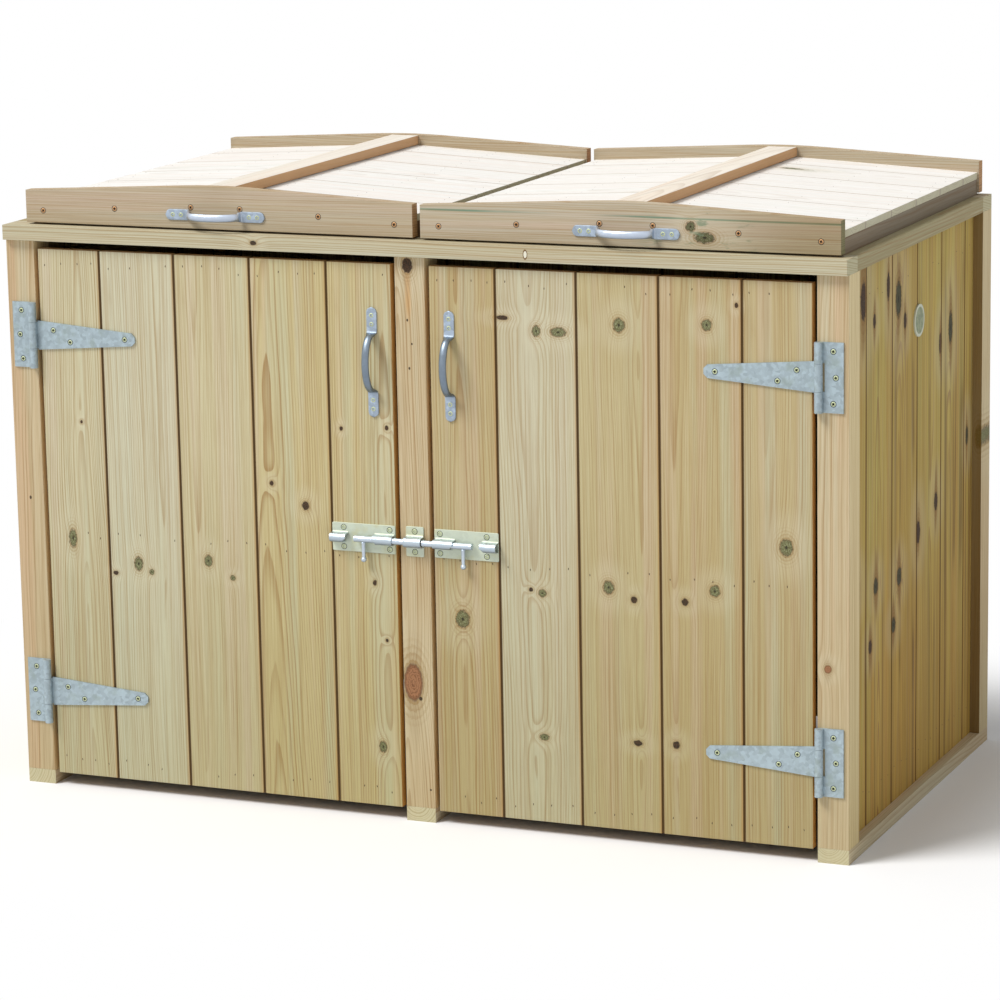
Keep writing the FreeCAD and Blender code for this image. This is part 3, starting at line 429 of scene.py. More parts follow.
    # painted light: faces turned sideways are made paler
    if painted_light_on_sides:
        coat(abs(nx).over(0.7, 0.95) * painted_light_on_sides, SIDE_LIGHT_PAINT, blend="MULTIPLY")
    coat(ends * 0.8, sh.mix(late, *cut))
    if cover:
        # an orange band beside each joint is painted light on its lit bevel, and the joint itself is dark
        side = local - (cover / 2 - 9 * MM)
        coat(side.over(0.0, 8 * MM) * (0.6 * min(1.0, grain)), PAINTED_BEVEL_LIGHT)
        seam = abs(local) - (cover / 2 - 3.6 * MM)
        coat(seam.over(0.0, 2.0 * MM) * 0.85, joint)
    height = late * 0.5 + fibre * 0.35 + lines * 0.3
    soft = sh.node("ShaderNodeBevel", {"samples": 4}, {"Radius": 1.6 * MM})
    normal = sh.bump(height, 0.5 * MM, 0.35, soft)
    roughness = 0.66 + fibre * 0.2 - late * 0.08
    return sh.finish(Base_Color=colour, Roughness=roughness, Normal=normal, Specular_IOR_Level=0.28)


def dress(material, *names):
    """Gives CAD nodes a finish."""
    for name in names:
        for slot in nodes[name].material_slots:
            slot.material = material


def millimetres(knots, middle=0.0):
    """Knots written as millimetres from the middle and the ground, with their stretch along the grain."""
    return [((a * MM - middle), z * MM, r * MM, stretch) for a, z, r, stretch in knots]


# %% [markdown]
# ## Which way each board runs
#
# The doors and walls have upright boards, the lids have boards that run out from the ridge, and the cap
# frame's rails run along or across. One short function for each kind says which way the grain goes. The
# knots that show most are placed one by one, and the rest are sprinkled.


# %% Three ways
def sideways(x, y, z):
    return x


def backwards(x, y, z):
    return y


def upright(x, y, z):
    return z


def past(way, start):
    """How far beyond start a point is, that way."""
    return lambda x, y, z: way(x, y, z) - start


def short_of(way, end):
    """How far a point is from reaching end, that way."""
    return lambda x, y, z: end - way(x, y, z)


# %% Doors
COVER = 154.8 * MM
DOOR_BOARDS = 5
# each knot is millimetres from the middle, millimetres up, its radius, and its stretch along the grain
SOUND = {
    "left": [
        (-708, 487, 7.5, 2.1), (-570, 447, 8, 1.5), (-543, 433, 4.5, 1.1), (-423, 463, 7.5, 1.3),
        (-373, 434, 5, 0.9), (-74, 136, 7, 1.4),
    ],
    "right": [
        (91, 391, 12, 1.25), (244, 928, 7, 1.3), (286, 928, 13, 0.6), (248, 451, 7, 0.9),
        (401, 946, 10, 1.15), (376, 471, 9.5, 1.15), (565, 954, 8.5, 1.1), (577, 479, 9, 1.1),
        (710, 567, 11, 1.3), (248, 183, 8, 0.7),
    ],
}
DEAD = {
    "left": [
        (-619, 426, 5.7, 0.7), (-287, 619, 4, 1.2), (-52, 736, 3.5, 1.4), (-83, 446, 4, 1.4),
        (-61, 339, 3, 1.2), (-219, 581, 7.5, 1.1), (-143, 730, 3.5, 1.2), (-680, 712, 2.6, 1.2),
    ],
    "right": [
        (179, 949, 11, 0.4), (226, 456, 4, 1.0), (424, 452, 6, 1.1), (429, 188, 8.5, 0.65),
        (521, 455, 6.5, 1.0), (502, 191, 7, 1.0), (620, 991, 3.5, 1.3),
    ],
}
COOL = {"left": (0.42, 0.68, 0.28, 0.0, 0.0), "right": (0.0, 0.55, 0.0, 0.0, 0.05)}


def door_start(side):
    """Where the first board of a door begins."""
    low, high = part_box(f"{side}_door_boards")
    return (low.x + high.x) / 2 - DOOR_BOARDS / 2 * COVER


for side, sign in SIDES.items():
    start = door_start(side)
    door_pine = pine(
        f"{side}_door_pine", upright, past(sideways, start), past(backwards, FACE), f"{side}_door",
        number=3.0 if sign < 0 else 15.0, cover=COVER, knots=millimetres(SOUND[side], start),
        dead=millimetres(DEAD[side], start), cool=COOL[side], salt=2.0, foot=0.5, painted_edge_light=0.8,
    )
    dress(door_pine, f"{side}_door_boards")
    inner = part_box(f"{side}_door_ledges")[1].y
    ledge_pine = pine(f"{side}_ledge_pine", sideways, upright, short_of(backwards, inner), f"{side}_door",
                      number=5.0 + sign, salt=9.0, scatter=1.3)
    dress(ledge_pine, f"{side}_door_ledges")

# %% Walls
# how much of the foremost board of a side wall shows
FIRST_WALL_BOARD = 98 * MM
WALL_KNOTS = [
    (-79, 958, 16, 1.9), (253, 853, 12, 2.3), (368, 626, 8, 2.2), (-213, 457, 12, 1.2), (-70, 444, 13, 1.2),
    (-105, 361, 12, 1.1),
]
WALL_DEAD = [
    (-287, 985, 17, 2.0), (-223, 940, 8, 1.6), (-141, 990, 9, 2.8), (-38, 912, 9, 1.7), (187, 834, 9, 2.2),
    (162, 538, 11, 1.6), (49, 502, 12, 1.8), (-325, 475, 14, 1.2), (-245, 353, 10, 1.3),
]
low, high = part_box("right_side_boards")
wall_start = low.y + FIRST_WALL_BOARD - COVER
wall_face = high.x
across_wall = past(backwards, wall_start)
right_wall_pine = pine(
    "right_wall_pine", upright, across_wall, short_of(sideways, wall_face), "wall", number=31.0,
    cover=COVER, knots=millimetres(WALL_KNOTS, wall_start), dead=millimetres(WALL_DEAD, wall_start),
    salt=4.0, tails=0.7, grain=1.35, foot=0.6, low_multiplier=WARM, dim=0.8, dark=0.9,
)
dress(right_wall_pine, "right_side_boards")
# the photograph shows neither the left wall nor the back, so their knots are sprinkled
unseen = {"cover": COVER, "grain": 1.2, "foot": 0.4, "scatter": 1.15, "dim": 0.5, "dark": 0.4}
left_wall_pine = pine("left_wall_pine", upright, across_wall, lambda x, y, z: wall_face + x, "back",
                      number=41.0, salt=14.0, **unseen)
dress(left_wall_pine, "left_side_boards")
bay_start = door_start("right")
back_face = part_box("back_boards")[1].y
# the back's boards are numbered from far to the left, so that no two of them get the same number
back_start = bay_start - 20 * COVER
back_pine = pine("back_pine", upright, past(sideways, back_start), short_of(backwards, back_face),
                 "back", number=51.0, salt=6.0, **unseen)
dress(back_pine, "back_boards")
side_rail_pine = pine("side_rail_pine", backwards, upright, lambda x, y, z: abs(x) - 0.7, "back",
                      number=61.0, salt=1.0, scatter=1.5)
dress(side_rail_pine, "left_side_rails", "right_side_rails")
back_rail_pine = pine("back_rail_pine", sideways, upright, backwards, "back", number=71.0, salt=1.0,
                      scatter=1.5)
dress(back_rail_pine, "back_rails")

# %% Posts
POST_RUDDY = {"front_centre_post": [(-10, 264, 17, 1.9)], "front_right_post": [(786, 354, 6, 1.1)]}
POST_DEAD = {"front_centre_post": [(-4, 1036, 10, 1.4)]}
POST_PINS = {
    "front_centre_post": [
        (-6, 936, 1.9, 1.5), (2, 893, 1.7, 1.3), (-4, 848, 1.9, 1.4), (20, 62, 2, 1.1), (4, 234, 3.5, 1.1),
    ],
    "front_right_post": [(800, 905, 2, 1.2)],
    "front_left_post": [(-796, 560, 2.4, 1.5)],
}
POST_STREAKS = {"front_centre_post": [(-3, 990, 8, 9.0)]}
for i, name in enumerate(n for n in nodes if n.endswith("_post")):
    low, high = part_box(name)
    middle = (low.x + high.x) / 2
    ruddy, dead, pins, streaks = (millimetres(found.get(name, ()), middle)
                                  for found in (POST_RUDDY, POST_DEAD, POST_PINS, POST_STREAKS))
    post_pine = pine(
        f"{name}_pine", upright, past(sideways, middle), past(backwards, low.y), "frame",
        number=80.0 + 3 * i, salt=8.0 + i, grain=0.95, ruddy=ruddy, dead=dead, pins=pins, streaks=streaks,
        scatter=0.0 if pins else 1.6, tails=0.25 if ruddy else 0.0, foot=0.3,
        # the front posts' sides are made paler, painted light, and the rear posts' fronts in the walls'
        # recess take painted shade
        painted_light_on_sides=0.9 if name.startswith("front") else 0.4,
        shaded=0.8 if name in ("rear_left_post", "rear_right_post") else 0.0,
    )
    dress(post_pine, name)

# %% Cap frame and bearers
for i, name in enumerate(("cap_front_rail", "cap_rear_rail")):
    low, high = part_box(name)
    # its wide face is upwards, and the knots that show in front run through to the edge
    cap_pine = pine(
        f"{name}_pine", sideways, lambda x, y, z: z + (y - low.y) * 0.2, short_of(upright, high.z), "cap",
        number=101.0 + i, salt=3.0, dead=[(1.066, -0.304, 4.5 * MM, 1.4)],
        pockets=[(1.066, 0.230, 8 * MM, 0.5)], cut=WEATHERED,
    )
    dress(cap_pine, name)
short_rails = [f"cap_{side}_rail" for side in ("left", "centre", "right")]
bearers = [f"{side}_bearer" for side in ("left", "centre", "right")]
for i, name in enumerate(short_rails + bearers):
    low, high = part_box(name)
    short_pine = pine(
        f"{name}_pine", backwards, past(sideways, low.x), short_of(upright, high.z),
        "rail" if name in short_rails else "frame", number=111.0 + i, salt=5.0, scatter=2.5, cut=WEATHERED,
    )
    dress(short_pine, name)

# %% Lids
ROOF_COVER = 152 * MM
# how much of the foremost board of a lid shows
FIRST_ROOF_BOARD = 128 * MM
for side, sign in SIDES.items():
    low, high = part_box(f"{side}_lid_boards")
    roof_start = low.y + FIRST_ROOF_BOARD - ROOF_COVER
    middle = (low.x + high.x) / 2
    # the two lids are numbered apart, so their boards differ
    roof_pine = pine(
        f"{side}_roof_pine", past(sideways, middle), past(backwards, roof_start),
        short_of(upright, high.z), "roof", number=131.0 + 20 * (sign > 0), cover=ROOF_COVER, salt=7.0,
        grain=0.25, scatter=2.2, stain=0.2, cut=WEATHERED, joint=PALE_JOINT,
    )
    dress(roof_pine, f"{side}_lid_boards")
    for k, part in enumerate(("front", "rear")):
        name = f"{side}_lid_{part}_fascia"
        low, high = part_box(name)
        marked = name == "right_lid_front_fascia"
        # these knots are written across the board first, since its grain runs level
        marks = {
            "knots": [(1.1235, 0.532, 8 * MM, 1.0), (1.105, 0.558, 9 * MM, 1.9)], "dim": 0.4, "stain": 0.75,
            "tide": 1.137, "worn": (0.5, 0.78), "cut": OLIVE,
        } if marked else {}
        fascia_pine = pine(
            f"{name}_pine", sideways, upright,
            past(backwards, low.y) if part == "front" else short_of(backwards, high.y), "fascia",
            number=171.0 + k + 4 * (sign > 0), salt=11.0 + sign, grain=0.85, painted_edge_light=0.1, **marks,
        )
        dress(fascia_pine, name)
    low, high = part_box(f"{side}_ridge_batten")
    batten_pine = pine(f"{side}_batten_pine", backwards, past(sideways, low.x), short_of(upright, high.z),
                       "batten", number=181.0 + sign, salt=12.0, grain=0.4, painted_edge_light=0.75)
    dress(batten_pine, f"{side}_ridge_batten")
    frame_pine = pine(f"{side}_lid_frame_pine", backwards, sideways, short_of(upright, high.z), "fascia",
                      number=191.0 + sign, cover=0.2, salt=13.0, scatter=1.6)
    dress(frame_pine, f"{side}_lid_frame")
print("pine finishes:", sum(m.name.endswith("pine") for m in bpy.data.materials))

# %% [markdown]
# ## Galvanised steel
#
# Hot dipped zinc freezes in flat crystals, the spangle, a few millimetres across, each with its own sheen.
# A Voronoi texture is made of just such cells, and its random colour per cell shifts how pale and how
# rough each crystal is. The bolts' sheets and the screws are plated and passivated instead, which leaves a
# faint yellow cast, and the bolts' rods and grips are bright.


# %% Metals
def zinc(name, colour, spangle, rough, spread, metal=1.0, tarnish=0.0, cast=(196, 188, 140),
         raised=None, skin=FACE, under=0.0):
    """
    A zinc finish. spangle is a crystal's size and spread how much crystals differ. tarnish is how much of
    the cast's colour it has taken. raised is a painted colour, standing in for reflections, for what stands
    off the skin, the wood's front at that Y, and under how much painted shade darkens its lower sides.
    """
    sh = blank(name)
    x, y, z = sh.place()
    nx, ny, nz = sh.facing()
    wave = (sh.noise(x * 60, y * 60, z * 60) - 0.5) * 0.6
    here = sh.vector(x / spangle + wave, y / spangle + wave, z / spangle - wave)
    cell = sh.node("ShaderNodeTexVoronoi", None, {"Vector": here, "Scale": 1.0}, out="Color")
    crystal = sh.apart(cell)[0]
    grime = sh.noise(x * 45, y * 45, z * 45, detail=4.0)
    fine = sh.noise(x * 700, y * 700, z * 700, detail=2.0)
    pale = tuple(min(1.0, c * (1 + spread)) for c in colour)
    dark = tuple(c * (1 - spread) for c in colour)
    tone = sh.mix(crystal * 0.6 + grime * 0.4, dark, pale)
    tone = sh.mix(grime.over(0.5, 0.72) * tarnish, tone, srgb(*cast))
    roughness = crystal * 0.12 + grime * 0.12 + rough
    if raised:
        # what stands off the skin is shinier and more metallic, and takes the raised colour, a painted
        # reflection
        proud = y.over(skin - 2.6 * MM, skin - 5 * MM)
        tone = sh.mix(proud * 0.8, tone, srgb(*raised))
        roughness = roughness - proud * 0.14
        metal = proud * (0.9 - metal) + metal
    if under:
        # painted shade: faces turned downwards are darkened
        tone = sh.mix((-nz).over(-0.2, 0.95) * under, tone, srgb(108, 122, 142))
    texture = sh.bump(fine * 0.6 + crystal * 0.4, 0.1 * MM, 0.3)
    return sh.finish(Base_Color=tone, Metallic=metal, Roughness=roughness, Normal=texture)


def bow_steel(kind, skin, raised, under):
    """The bow handles are all of one steel, but those of the doors and the lids face different ways. Their
    standing parts take a painted reflection, pale on the lids and dark on the doors.
    """
    return zinc(f"{kind}_bow_steel", srgb(168, 182, 198), 6 * MM, 0.42, 0.28, metal=0.55, tarnish=0.45,
                cast=(124, 136, 148), raised=raised, skin=skin, under=under)


galvanised = zinc("galvanised_steel", srgb(168, 183, 190), 6 * MM, 0.45, 0.24, metal=0.6, tarnish=0.4,
                  cast=(140, 152, 138))
# the lids' bows are painted pale and the doors' dark where they stand off the wood: painted reflection
bow_steels = {
    "door": bow_steel("door", FACE, (118, 130, 142), 0.3),
    "lid": bow_steel("lid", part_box("left_lid_front_fascia")[0].y, (204, 214, 230), 0.6),
}
# the bolts' humps are painted bluer, a painted reflection, and their lower sides darker, painted shade
plated = zinc("plated_steel", srgb(204, 212, 192), 9 * MM, 0.42, 0.08, metal=0.35, tarnish=0.5,
              cast=(202, 200, 154), raised=(186, 200, 216), under=0.6)
# the rods' and grips' lower sides are darkened: painted shade
bright = zinc("bright_zinc", srgb(200, 212, 224), 12 * MM, 0.24, 0.06, metal=0.85, under=0.5)
passivated = zinc("passivated_zinc", srgb(196, 204, 162), 12 * MM, 0.32, 0.08, metal=0.7)
gilt = zinc("yellow_zinc", srgb(196, 150, 104), 12 * MM, 0.34, 0.08, metal=0.8, tarnish=0.4,
            cast=(120, 84, 50))
# painted shadow, for a screw's slot and the ring about its head
recess = zinc("recess_shadow", srgb(30, 32, 32), 12 * MM, 0.8, 0.1, metal=0.0)
for side in SIDES:
    dress(galvanised, f"{side}_hinge_butts", f"{side}_upper_hinge_strap", f"{side}_lower_hinge_strap",
          f"{side}_lid_hinge_leaves")
    dress(bright, f"{side}_bolt_rod")
dress(galvanised, "lid_hinge_lower_leaves")


# %% The badge
def badge_finish():
    sh = blank("badge")
    x, y, z = sh.place()
    low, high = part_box("badge_disc")
    middle = (low + high) / 2
    out = ((y - middle.y) ** 2.0 + (z - middle.z) ** 2.0).root() / ((high.z - low.z) / 2)
    rim = out.over(0.8, 0.86)
    mottle = sh.noise(x * 160, y * 160, z * 160, detail=4.0)
    colour = sh.mix(mottle.over(0.4, 0.6), srgb(104, 118, 74), srgb(138, 146, 106))
    colour = sh.mix(rim, colour, srgb(196, 200, 178))
    raised = sh.bump(mottle + rim, 0.3 * MM, 0.5)
    return sh.finish(Base_Color=colour, Roughness=0.35 + mottle * 0.2, Normal=raised)


dress(badge_finish(), "badge_disc")

# %% [markdown]
# ## Bow handles
#
# A bow handle is forged from one bar: its ends are beaten flat into feet with round tips, and the middle
# stays a bar of oval section, bent away from the wood. So it is one tube whose section changes along the
# way, from a flat plate to an oval. The path is worked out once and the section is swept along it, and the
# same mesh stands upright on a door or lies along a lid.


# %% Making pieces
def added(name, data):
    """A new object in the scene."""
    obj = bpy.data.objects.new(name, data)
    bpy.context.scene.collection.objects.link(obj)
    return obj


def riding(name, mesh, body, stands_for):
    """A new object that moves with a body, in place of the CAD nodes that it stands for."""
    obj = added(name, mesh)
    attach(obj, body)
    if stands_for:
        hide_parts(*stands_for)


def piece(name, verts, faces, finish, body, *stands_for, smooth=True):
    """A mesh that is one closed skin, riding on a body in place of CAD nodes."""
    mesh = bpy.data.meshes.new(name)
    bm = bmesh.new()
    made = [bm.verts.new(v) for v in verts]
    for face in faces:
        bm.faces.new([made[i] for i in face])
    bmesh.ops.remove_doubles(bm, verts=bm.verts, dist=1e-6)
    bmesh.ops.recalc_face_normals(bm, faces=bm.faces)
    for face in bm.faces:
        face.smooth = smooth
    bm.to_mesh(mesh)
    bm.free()
    mesh.materials.append(finish)
    riding(name, mesh, body, stands_for)


def turn(count):
    """Equal angles, once round."""
    return [2 * math.pi * k / count for k in range(count)]


def loft(rings):
    """Vertices and faces of a skin over rings of equal count, with both ends closed."""
    count = len(rings[0])
    verts = [v for ring in rings for v in ring]
    faces = [tuple(range(count))[::-1], tuple(range((len(rings) - 1) * count, len(rings) * count))]
    for i in range(len(rings) - 1):
        for k in range(count):
            a, b = i * count + k, i * count + (k + 1) % count
            faces.append((a, b, b + count, a + count))
    return verts, faces


# %% The handle's sweep
# in millimetres: the whole handle, its two flat feet, and the bar bowed out between them
HANDLE_LONG, FOOT_WIDE, FOOT_THICK = 202.0, 20.0, 2.6
BAR_WIDE, BAR_THICK, BOW_HALF, BOW_RISE = 14.0, 9.0, 52.0, 33.0
# the bar stays oval where it stands further out than CLEAR, and nothing goes closer to the wood than SKIN
CLEAR, SKIN = 9, 0.02


def handle_path():
    """Places along the handle, and how far the bar's middle stands off the wood there."""
    flat = [(a, FOOT_THICK / 2) for a in np.linspace(-HANDLE_LONG / 2, -BOW_HALF - 3, 16)]
    bow = []
    for t in np.linspace(-math.pi / 2, math.pi / 2, 49):
        bow.append((BOW_HALF * math.sin(t), FOOT_THICK / 2 + BOW_RISE * math.cos(t) ** 0.9))
    path = flat + bow + [(-a, o) for a, o in flat[::-1]]
    for _ in range(5):
        threes = zip(path, path[1:], path[2:])
        smoothed = [tuple((p + 2 * q + r) / 4 for p, q, r in zip(*three)) for three in threes]
        path = [path[0]] + smoothed + [path[-1]]
    return path


def handle_rings(stands_up, centre):
    """The section along the path, flat and wide at the feet, their tips round, and oval in the bow."""
    path = handle_path()
    rings = []
    for i, (a, o) in enumerate(path):
        before, after = path[max(i - 1, 0)], path[min(i + 1, len(path) - 1)]
        tangent = Vector((after[0] - before[0], after[1] - before[1])).normalized()
        flat = min(1.0, max(0.0, (abs(a) - BOW_HALF + 6) / 9))
        flat = flat * flat * (3 - 2 * flat)
        if o > CLEAR:
            flat = 0.0
        wide = BAR_WIDE + (FOOT_WIDE - BAR_WIDE) * flat
        thick = BAR_THICK + (FOOT_THICK - BAR_THICK) * flat
        tip = FOOT_WIDE / 2 - (HANDLE_LONG / 2 - abs(a))
        if tip > 0:
            wide = max(0.6, 2 * math.sqrt(max(0.0, (FOOT_WIDE / 2) ** 2 - tip ** 2)))
        power = 2.0 / (2.0 + 5.0 * flat)
        ring = []
        for t in turn(28):
            c, s = math.cos(t), math.sin(t)
            u = math.copysign(abs(c) ** power, c) * wide / 2
            v = math.copysign(abs(s) ** power, s) * thick / 2
            along, out = a - v * tangent[1], max(o + v * tangent[0], SKIN)
            spot = (u, -out, along) if stands_up else (along, -out, u)
            ring.append(Vector(spot) * MM + centre)
        rings.append(ring)
    return rings


for side in SIDES:
    for kind, finish in bow_steels.items():
        low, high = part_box(f"{side}_{kind}_handle")
        centre = (low + high) / 2
        centre.y = high.y
        rings = handle_rings(kind == "door", centre)
        piece(f"{side}_{kind}_bow", *loft(rings), finish, f"{side}_{kind}", f"{side}_{kind}_handle")
print("handles stand off", round((high.y - min(v.y for r in rings for v in r)) / MM, 1), "mm")

# %% [markdown]
# ## Slide bolts
#
# A slide bolt is pressed from one sheet. Its guides are humps in the plate: the sheet curves up from the
# flat in a small fillet, goes over the round rod, and comes down again. That profile is drawn once as a
# closed strip and swept along the rod, and the flat plate with its rounded corners passes under it. The
# guide's outer end is cut in a step, the catch for the handle. The keep on the post is the same strip, a
# little wider.

# %% Pressed sheet
# in millimetres: the sheet, and how high its two plates are and how round their corners
SHEET, BOLT_HIGH, KEEP_HIGH, CORNER = 2.0, 53.0, 56.0, 2.5
# a hump's inner radius, wall and fillet, over a bolt and over the keep, and the depth of the catch
GUIDE, ARCH, CATCH = (6.5, 2.1, 3.2), (7.3, 2.1, 4.5), 6.0
low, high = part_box("left_bolt_rod")
ROD_OUT = (FACE - (low.y + high.y) / 2) / MM
ROD_UP = (low.z + high.z) / 2 / MM
print("rod stands off", round(ROD_OUT, 2), "mm at", round(ROD_UP, 1), "mm up")


def hump(inner, wall, fillet):
    """Outline of a guide, as (up, out) from the rod's height and the wood: over the rod and back inside."""
    outer, foot = inner + wall, SHEET - 0.6
    half = []
    for t in np.linspace(0, math.pi / 2, 7):
        half.append((outer + fillet - fillet * math.sin(t), SHEET + fillet - fillet * math.cos(t)))
    over = [(outer * math.cos(t), ROD_OUT + outer * math.sin(t)) for t in np.linspace(0, math.pi, 21)]
    under = [(inner * math.cos(t), ROD_OUT + inner * math.sin(t)) for t in np.linspace(math.pi, 0, 21)]
    left = [(-u, o) for u, o in half[::-1]]
    start = [(outer + fillet, foot)] + half
    return start + over + left + [(-outer - fillet, foot), (-inner, foot)] + under + [(inner, foot)]


def guide(first, last, inner, wall, fillet, notch=0.0):
    """A hump from first to last along X, in millimetres. A notch shortens its lower half at last."""
    rings = []
    outline = hump(inner, wall, fillet)
    way = 1 if last > first else -1
    between = list(np.linspace(first + way, last - way, 6))
    steps = [first, first + way * 0.5] + between + [last - way * 0.5, last]
    for i, x in enumerate(steps):
        ease = 0.3 if i in (0, len(steps) - 1) else 0.0
        ring = []
        for up, out in outline:
            back = notch if up < -2 and i > len(steps) // 2 else 0.0
            reach = x - way * back * (i / (len(steps) - 1)) ** 0.5
            ring.append(Vector((reach * MM, FACE - (out - ease) * MM, (ROD_UP + up) * MM)))
        rings.append(ring)
    return loft(rings)


def plate(x0, x1, high):
    """The flat sheet with rounded corners, as an outline given a thickness."""
    outline = []
    half = high / 2
    for cx, cz, quarter in ((x1 - CORNER, half - CORNER, 0), (x0 + CORNER, half - CORNER, 1),
                            (x0 + CORNER, CORNER - half, 2), (x1 - CORNER, CORNER - half, 3)):
        for t in np.linspace(0, math.pi / 2, 5):
            angle = t + quarter * math.pi / 2
            outline.append((cx + CORNER * math.cos(angle), cz + CORNER * math.sin(angle)))
    rings = []
    for out, ease in ((SKIN, 0.0), (SHEET - 0.3, 0.0), (SHEET, 0.3)):
        ring = []
        for x, up in outline:
            x = x0 + ease + (x - x0) * (x1 - x0 - 2 * ease) / (x1 - x0)
            up = up * (half - ease) / half
            ring.append(Vector((x * MM, FACE - out * MM, (ROD_UP + up) * MM)))
        rings.append(ring)
    return loft(rings)


def joined(*parts):
    """Several skins as one list of vertices and one of faces."""
    verts, faces = [], []
    for more_verts, more_faces in parts:
        faces += [tuple(i + len(verts) for i in face) for face in more_faces]
        verts += more_verts
    return verts, faces


# %% Bolts and keep
for side, sign in SIDES.items():
    low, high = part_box(f"{side}_bolt_plate")
    near, far = (edge / MM for edge in sorted((abs(low.x), abs(high.x))))
    flat = plate(*sorted((sign * near, sign * far)), BOLT_HIGH)
    main = guide(sign * (near + 1.5), sign * (near + 41), *GUIDE, notch=CATCH)
    end = guide(sign * (far - 0.3), sign * (far - 32), *GUIDE, notch=CATCH)
    piece(f"{side}_bolt_pressing", *joined(flat, main, end), plated, f"{side}_door",
          f"{side}_bolt_plate", smooth=False)
low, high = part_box("bolt_keep")
flat = plate(low.x / MM, high.x / MM, KEEP_HIGH)
arch = guide(low.x / MM + 0.3, high.x / MM - 0.3, *ARCH)
piece("keep_pressing", *joined(flat, arch), plated, "carcass", "bolt_keep", smooth=False)


# %% Grips
def grip(side):
    """The pin that the bolt is slid by: a boss on the rod, a tapered stem and a ball end, turned in one."""
    low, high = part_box(f"{side}_bolt_grip")
    x, y, top = ((low + high) / 2).x, FACE - ROD_OUT * MM, ROD_UP * MM
    # radii and how far down from the rod's middle, then the ball
    profile = [(0.0, 5.4), (4.0, 5.4), (4.2, 7.4), (3.8, 8.6), (3.6, 22), (3.3, 31), (3.3, 33.2)]
    ball, ball_down = 5.3, 38
    for t in np.linspace(-0.9, math.pi / 2, 9):
        profile.append((ball * math.cos(t), ball_down + ball * math.sin(t)))
    rings = []
    for radius, down in profile:
        wide = max(radius, 0.05) * MM
        rings.append([Vector((x + wide * math.cos(t), y + wide * math.sin(t), top - down * MM))
                      for t in turn(20)])
    piece(f"{side}_grip_pin", *loft(rings), bright, f"{side}_bolt_handle", f"{side}_bolt_grip")


for side in SIDES:
    grip(side)

# %% [markdown]
# ## Screws and nails
#
# Nearly a hundred screws and five hundred nails are the same two small shapes, so Geometry Nodes place
# them. The CAD screws already say where each one goes and which way it faces, so the points come from
# their solids. Every point carries its direction and its finish, and a seeded random turn keeps the cross
# slots from lining up, as they never do on a real store. Nail places follow the ledges and rails behind the
# boards, with a carpenter's small misses.


# %% Solids of a node
def solids(name):
    """Vertex places of each separate solid of a CAD node, merged, and in the same order on every run."""
    bm = bmesh.new()
    bm.from_mesh(nodes[name].data)
    bmesh.ops.remove_doubles(bm, verts=bm.verts, dist=1e-6)
    left = set(bm.verts)
    groups = []
    while left:
        front = [left.pop()]
        group = list(front)
        while front:
            more = [e.other_vert(v) for v in front for e in v.link_edges]
            front = [v for v in set(more) if v in left]
            left.difference_update(front)
            group += front
        groups.append(np.array(sorted(v.co[:] for v in group)))
    bm.free()
    return sorted(groups, key=lambda points: tuple(points[0]))


def screw_spots(name):
    """Where each screw's head is, and which way it faces."""
    spots = []
    for points in solids(name):
        middle = points.mean(axis=0)
        centre = (points.min(axis=0) + points.max(axis=0)) / 2
        out = np.hypot(points[:, 0] - centre[0], points[:, 2] - centre[2])
        head_y = points[out > out.max() - 1e-5][:, 1].mean()
        way = 1.0 if head_y > middle[1] else -1.0
        spots.append((Vector((centre[0], head_y, centre[2])), Vector((0, way, 0))))
    return spots


# %% One head and one nail
def skin(bm, loops):
    """Faces between each loop of vertices and the next."""
    for a, b in zip(loops, loops[1:]):
        for k in range(len(a)):
            bm.faces.new((a[k], a[(k + 1) % len(a)], b[(k + 1) % len(a)], b[k]))


def shape(bm, name):
    """The finished bmesh as an object for the placing tree, in no collection of its own."""
    mesh = bpy.data.meshes.new(name)
    bm.to_mesh(mesh)
    bm.free()
    return bpy.data.objects.new(name, mesh)


def cross_head():
    """A countersunk head of radius 1 with a cross slot, facing up. Its slot and the dent it presses take
    painted shadow.
    """
    bm = bmesh.new()
    around = np.arange(16) * math.pi / 8
    loops = []
    for radius, up in ((1.38, -0.1), (1.36, 0.005), (1.02, -0.02), (0.98, 0.04), (0.86, 0.1), (0.74, 0.12)):
        loops.append([bm.verts.new((radius * math.cos(t), radius * math.sin(t), up)) for t in around])
    arm, reach = 0.24, 0.62
    corner = [(reach, -arm), (reach, arm), (arm, arm)]
    outline = []
    for quarter in range(4):
        c, s = math.cos(quarter * math.pi / 2), math.sin(quarter * math.pi / 2)
        outline += [(x * c - y * s, x * s + y * c) for x, y in corner]
    slot = [bm.verts.new((x, y, 0.12)) for x, y in outline]
    floor = [bm.verts.new((x * 0.7, y * 0.7, -0.25)) for x, y in outline]
    skin(bm, loops)
    skin(bm, [slot, floor])
    bm.faces.new(floor)
    rim = [bm.edges.get(pair) for loop in (loops[-1], slot) for pair in zip(loop, loop[1:] + loop[:1])]
    bmesh.ops.triangle_fill(bm, use_beauty=True, edges=rim)
    bmesh.ops.recalc_face_normals(bm, faces=bm.faces)
    # the faces of the slot and of the skirt are marked, so that they take a dark finish of painted shadow
    mark = bm.faces.layers.float.new("deep")
    for face in bm.faces:
        middle = face.calc_center_median()
        in_slot = math.hypot(middle.x, middle.y) < 0.65 and middle.z < 0.11
        face[mark] = float(in_slot or middle.z < 0.0)
    return shape(bm, "cross_head")


